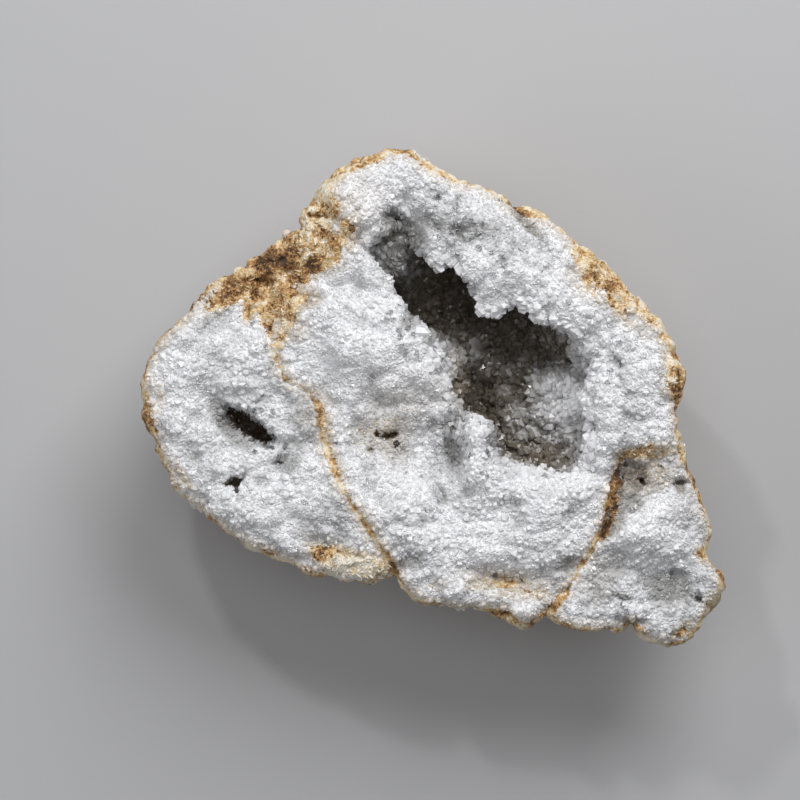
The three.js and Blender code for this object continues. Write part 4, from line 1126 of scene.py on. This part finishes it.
# Painted shade: with depth the colour gives way to the shade colour.
body = tree.mix(given.outputs["Deep"], pale, given.outputs["Shade"])
tree.join(body, result.inputs["Color"])
tree.join(tree.fade(specks, 0.3, 0.7, 0.12, 0.3), result.inputs["Roughness"])
tree.join(tree.math("ADD", specks, tree.math("MULTIPLY", clouds, 2.0)), result.inputs["Height"])
quartz_finish = tree.tree

# %% [markdown]
# The rind is a rough skin of iron-stained chalcedony. Cream, ochre and brown lie mixed in it, and
# small dark pores pit it. Its colours come from a broad and a fine noise added together, and its
# pores from the middles of a cell pattern. Its low places are painted darker, as painted shade, and
# a Dark input darkens it further.

# %% The recipe of the rind
RIND_TONES = [
    (0.33, (0.38, 0.19, 0.065, 1)),  # brown
    (0.5, (0.64, 0.42, 0.185, 1)),  # ochre
    (0.68, (0.8, 0.67, 0.46, 1)),  # cream
]
sockets = [("Place", VECTOR), ("Dark", FLOAT), ("Low", FLOAT), ("Tone", FLOAT)]
tree, given, result = new_group("rind_finish", sockets, FINISH)
broad = tree.noise(given.outputs["Place"], 160, 6, 0.68, 0.3)
fine = tree.noise(given.outputs["Place"], 1000, 5, 0.75)
pores = tree.cells(given.outputs["Place"], 700)
ramp = tree.node("ShaderNodeValToRGB")
ramp.color_ramp.elements[0].position = 0.12
ramp.color_ramp.elements[0].color = (0.085, 0.045, 0.022, 1)
ramp.color_ramp.elements[1].position = 0.9
ramp.color_ramp.elements[1].color = (0.87, 0.82, 0.72, 1)
for position, colour in RIND_TONES:
    ramp.color_ramp.elements.new(position).color = colour
shade = tree.math("ADD", tree.math("MULTIPLY", broad, 2.0), tree.math("MULTIPLY", fine, 1.8))
shade = tree.math("SUBTRACT", shade, 1.34)
# Painted shade: low places of the rind are darker.
shade = tree.math("SUBTRACT", shade, tree.fade(given.outputs["Low"], 0.2, 1.0, -0.08, 0.12))
shade = tree.math("ADD", shade, tree.fade(given.outputs["Tone"], 0.0, 1.0, -0.13, 0.13))
# The Dark input carries the grey mark, partly painted shade.
shade = tree.math("SUBTRACT", shade, tree.math("MULTIPLY", given.outputs["Dark"], 0.28))
tree.join(shade, ramp.inputs[0])
hole = tree.fade(pores, 0.1, 0.32, 1.0, 0.0)
hole = tree.math("MULTIPLY", hole, tree.fade(broad, 0.42, 0.58, 0.8, 0.0))
tree.join(tree.mix(hole, ramp.outputs[0], (0.07, 0.04, 0.022, 1)), result.inputs["Color"])
tree.join(tree.fade(fine, 0.3, 0.7, 0.6, 0.85), result.inputs["Roughness"])
height = tree.math("SUBTRACT", tree.math("ADD", fine, broad), tree.math("MULTIPLY", hole, 0.8))
tree.join(height, result.inputs["Height"])
rind_finish = tree.tree

# %% [markdown]
# A material puts the recipes together. The stone's reads the distances kept on its mesh: within
# about a millimetre of the outline, along the seams and over the rusty patches the rind takes
# over from the quartz, with a ragged edge from noise. Crystals have the quartz recipe, browner
# where iron has stained them, and the fibres have the rind's.

# %% Materials of the stone and of the crystals
def start_material(name, **constants):
    """A material with a Principled shader whose constants sit on its own sockets."""
    made = bpy.data.materials.new(name)
    made.use_nodes = True
    made.node_tree.nodes.clear()
    tree = Tree(made.node_tree)
    shader = tree.node("ShaderNodeBsdfPrincipled")
    for label, value in constants.items():
        shader.inputs[label.replace("_", " ")].default_value = value
    out = tree.node("ShaderNodeOutputMaterial")
    tree.join(shader.outputs[0], out.inputs[0])
    place = tree.node("ShaderNodeTexCoord").outputs["Object"]
    return made, tree, shader, place


def recipe(tree, group, place, **values):
    made = tree.node("ShaderNodeGroup", node_tree=group)
    tree.join(place, made.inputs["Place"])
    for label, value in values.items():
        tree.put(value, made.inputs[label])
    return made.outputs


def quartz_at(tree, place, tone, greyer=0.0, depths=(4, 20, 0.97), shade=(0.13, 0.106, 0.075, 1)):
    """The quartz recipe with the marks of the place. Between two depths it takes on a painted shade."""
    grey = tree.math("ADD", tree.mark("grey"), greyer)
    varied = tree.math("ADD", tree.mark("shade_depth_mm"), tree.fade(tone, 0.0, 1.0, -2.5, 2.5))
    # Painted shade: the colour darkens between two depths below the face.
    deep = tree.fade(varied, depths[0], depths[1], 0.0, depths[2])
    low = tree.mark("low")
    return recipe(tree, quartz_finish, place, Grey=grey, Low=low, Deep=deep, Shade=shade, Tone=tone)


def bump(tree, height, distance, shader):
    made = tree.node("ShaderNodeBump")
    made.inputs["Strength"].default_value = 0.6
    made.inputs["Distance"].default_value = distance
    tree.join(height, made.inputs["Height"])
    tree.join(made.outputs[0], shader.inputs["Normal"])


QUARTZ_INDEX = 1.544
MILKY = {
    "IOR": QUARTZ_INDEX,
    "Subsurface_Weight": 0.35,
    "Subsurface_Radius": (1.0, 1.0, 1.0),
    "Subsurface_Scale": 0.0008,
}

# %% The stone: quartz face, rind and seams
stone_material, tree, shader, place = start_material("white_quartz_and_rind", IOR=QUARTZ_INDEX)
quartz = quartz_at(tree, place, 0.5)
# The rind darkens with the grey mark, partly painted shade, and over the fibre-covered stains, where the
# skin between the fibres is painted darker, partly as shade between them.
dark_gaps_and_shade = tree.math("ADD", tree.mark("grey"), tree.fade(tree.mark("tan"), 0.5, 1.0, 0.0, 0.35))
rind = recipe(tree, rind_finish, place, Dark=dark_gaps_and_shade, Low=tree.mark("low"), Tone=0.5)
ragged = tree.fade(tree.noise(place, 700, 4, 0.65), 0.3, 0.7, -0.4, 0.4)
mask = tree.fade(tree.math("ADD", tree.mark("rind_mm"), ragged), -0.15, 0.3, 1.0, 0.0)
tree.join(tree.mix(mask, quartz["Color"], rind["Color"]), shader.inputs["Base Color"])
tree.join(tree.fade(mask, 0, 1, 0.35, 0.75), shader.inputs["Roughness"])
rind_height = tree.math("MULTIPLY", rind["Height"], mask)
bump(tree, tree.math("ADD", quartz["Height"], rind_height), 0.0004, shader)
stone.data.materials.append(stone_material)

# %% The crystals: milky, glassy and clear ones, and the deeper crusts
def crystal_material(name, greyer, tan_share, **choices):
    made, tree, shader, place = start_material(name, **MILKY)
    quartz = quartz_at(tree, place, tree.mark("tone"), greyer, **choices)
    stain = tree.math("MULTIPLY", tree.fade(tree.mark("tan"), 0.0, 0.6), tan_share)
    near_rind = tree.fade(tree.mark("rind_mm"), 0.2, 2.2, 0.45, 0.0)
    stain = tree.math("MAXIMUM", stain, near_rind)
    # The iron stain turns darker where the grey mark is high, partly painted shade.
    browner = tree.fade(tree.mark("grey"), 0.2, 1.2)
    iron = tree.mix(browner, (0.68, 0.53, 0.34, 1), (0.26, 0.19, 0.12, 1))
    tree.join(tree.mix(stain, quartz["Color"], iron), shader.inputs["Base Color"])
    tree.join(quartz["Roughness"], shader.inputs["Roughness"])
    return made


milky_material = crystal_material("milky_crystal", 0.0, 0.75)
for piece in grain_pieces:
    piece.data.materials.append(milky_material)
glassy_material = crystal_material("glassy_crystal", 0.08, 0.7)
points.data.materials.append(glassy_material)
lip_points.data.materials.append(glassy_material)

fibre_material, tree, shader, place = start_material("rind_fibre", IOR=QUARTZ_INDEX)
# The fibres darken with the grey mark and in low places, partly painted shade.
grey, low, tone = tree.mark("grey"), tree.mark("low"), tree.mark("tone")
rind = recipe(tree, rind_finish, place, Dark=grey, Low=low, Tone=tone)
tree.join(rind["Color"], shader.inputs["Base Color"])
tree.join(rind["Roughness"], shader.inputs["Roughness"])
fibres.data.materials.append(fibre_material)
hollow_material = crystal_material("hollow_crystal", 0.12, 0.4)
crust.data.materials.append(hollow_material)
hollow_points.data.materials.append(hollow_material)
# Painted shade: the pocket's lining turns dark brown between 3 and 7.5 mm deep.
POCKET_PAINTED_SHADE = (0.07, 0.046, 0.025, 1)
pocket_material = crystal_material("pocket_crystal", 0.25, 0.4, depths=(3, 7.5, 1.0), shade=POCKET_PAINTED_SHADE)
pocket.data.materials.append(pocket_material)
pocket_points.data.materials.append(pocket_material)

see_through = {"IOR": QUARTZ_INDEX, "Transmission_Weight": 1.0, "Roughness": 0.03}
clear_material, tree, shader, place = start_material("clear_quartz", **see_through)
frost = tree.fade(tree.noise(place, 900, 3), 0.4, 0.7, 0.02, 0.2)
tree.join(frost, shader.inputs["Roughness"])
veil = tree.mix(tree.fade(tree.mark("tone"), 0, 1), (0.96, 0.97, 0.98, 1), (0.86, 0.87, 0.88, 1))
tree.join(veil, shader.inputs["Base Color"])
clear.data.materials.append(clear_material)

# %% [markdown]
# ## Floor and light
#
# The stone lies on a plain pale floor. The main light stands beyond the top of the picture and to
# its right, so that the overhanging edge of the hollow throws its shade inwards. Softer lights
# from the other sides keep the shaded parts readable, and a small bright one gives the glints.

# %% The floor
bpy.ops.mesh.primitive_plane_add(size=6, location=(0, 0, 0))
floor = bpy.context.object
floor.name = "floor"
floor_material, tree, shader, place = start_material("pale_floor", Roughness=0.9)
shader.inputs["Base Color"].default_value = (0.5, 0.5, 0.51, 1)
floor.data.materials.append(floor_material)


# %% The lights
def area_light(name, place, size, power, colour=(1, 1, 1)):
    """A square lamp that looks at the stone."""
    lamp = bpy.data.lights.new(name, "AREA")
    lamp.shape = "SQUARE"
    lamp.size = size
    lamp.energy = power
    lamp.color = colour
    holder = bpy.data.objects.new(name, lamp)
    holder.location = place
    aim = Vector((0, 0, 0.03)) - Vector(place)
    holder.rotation_euler = aim.to_track_quat("-Z", "Y").to_euler()
    bpy.context.scene.collection.objects.link(holder)
    return holder


area_light("key", (0.24, 0.52, 0.58), 0.5, 4.9)
area_light("front", (-0.05, 0.1, 1.0), 0.45, 1.2)
area_light("left_fill", (-0.6, -0.1, 0.5), 0.5, 1.0, (0.97, 0.98, 1.0))
area_light("glint", (-0.22, 0.45, 0.55), 0.05, 0.8)
world = bpy.data.worlds.new("studio")
world.use_nodes = True
world.node_tree.nodes["Background"].inputs["Color"].default_value = (0.75, 0.77, 0.8, 1)
world.node_tree.nodes["Background"].inputs["Strength"].default_value = 0.16
bpy.context.scene.world = world
bpy.context.scene.view_settings.view_transform = "Standard"
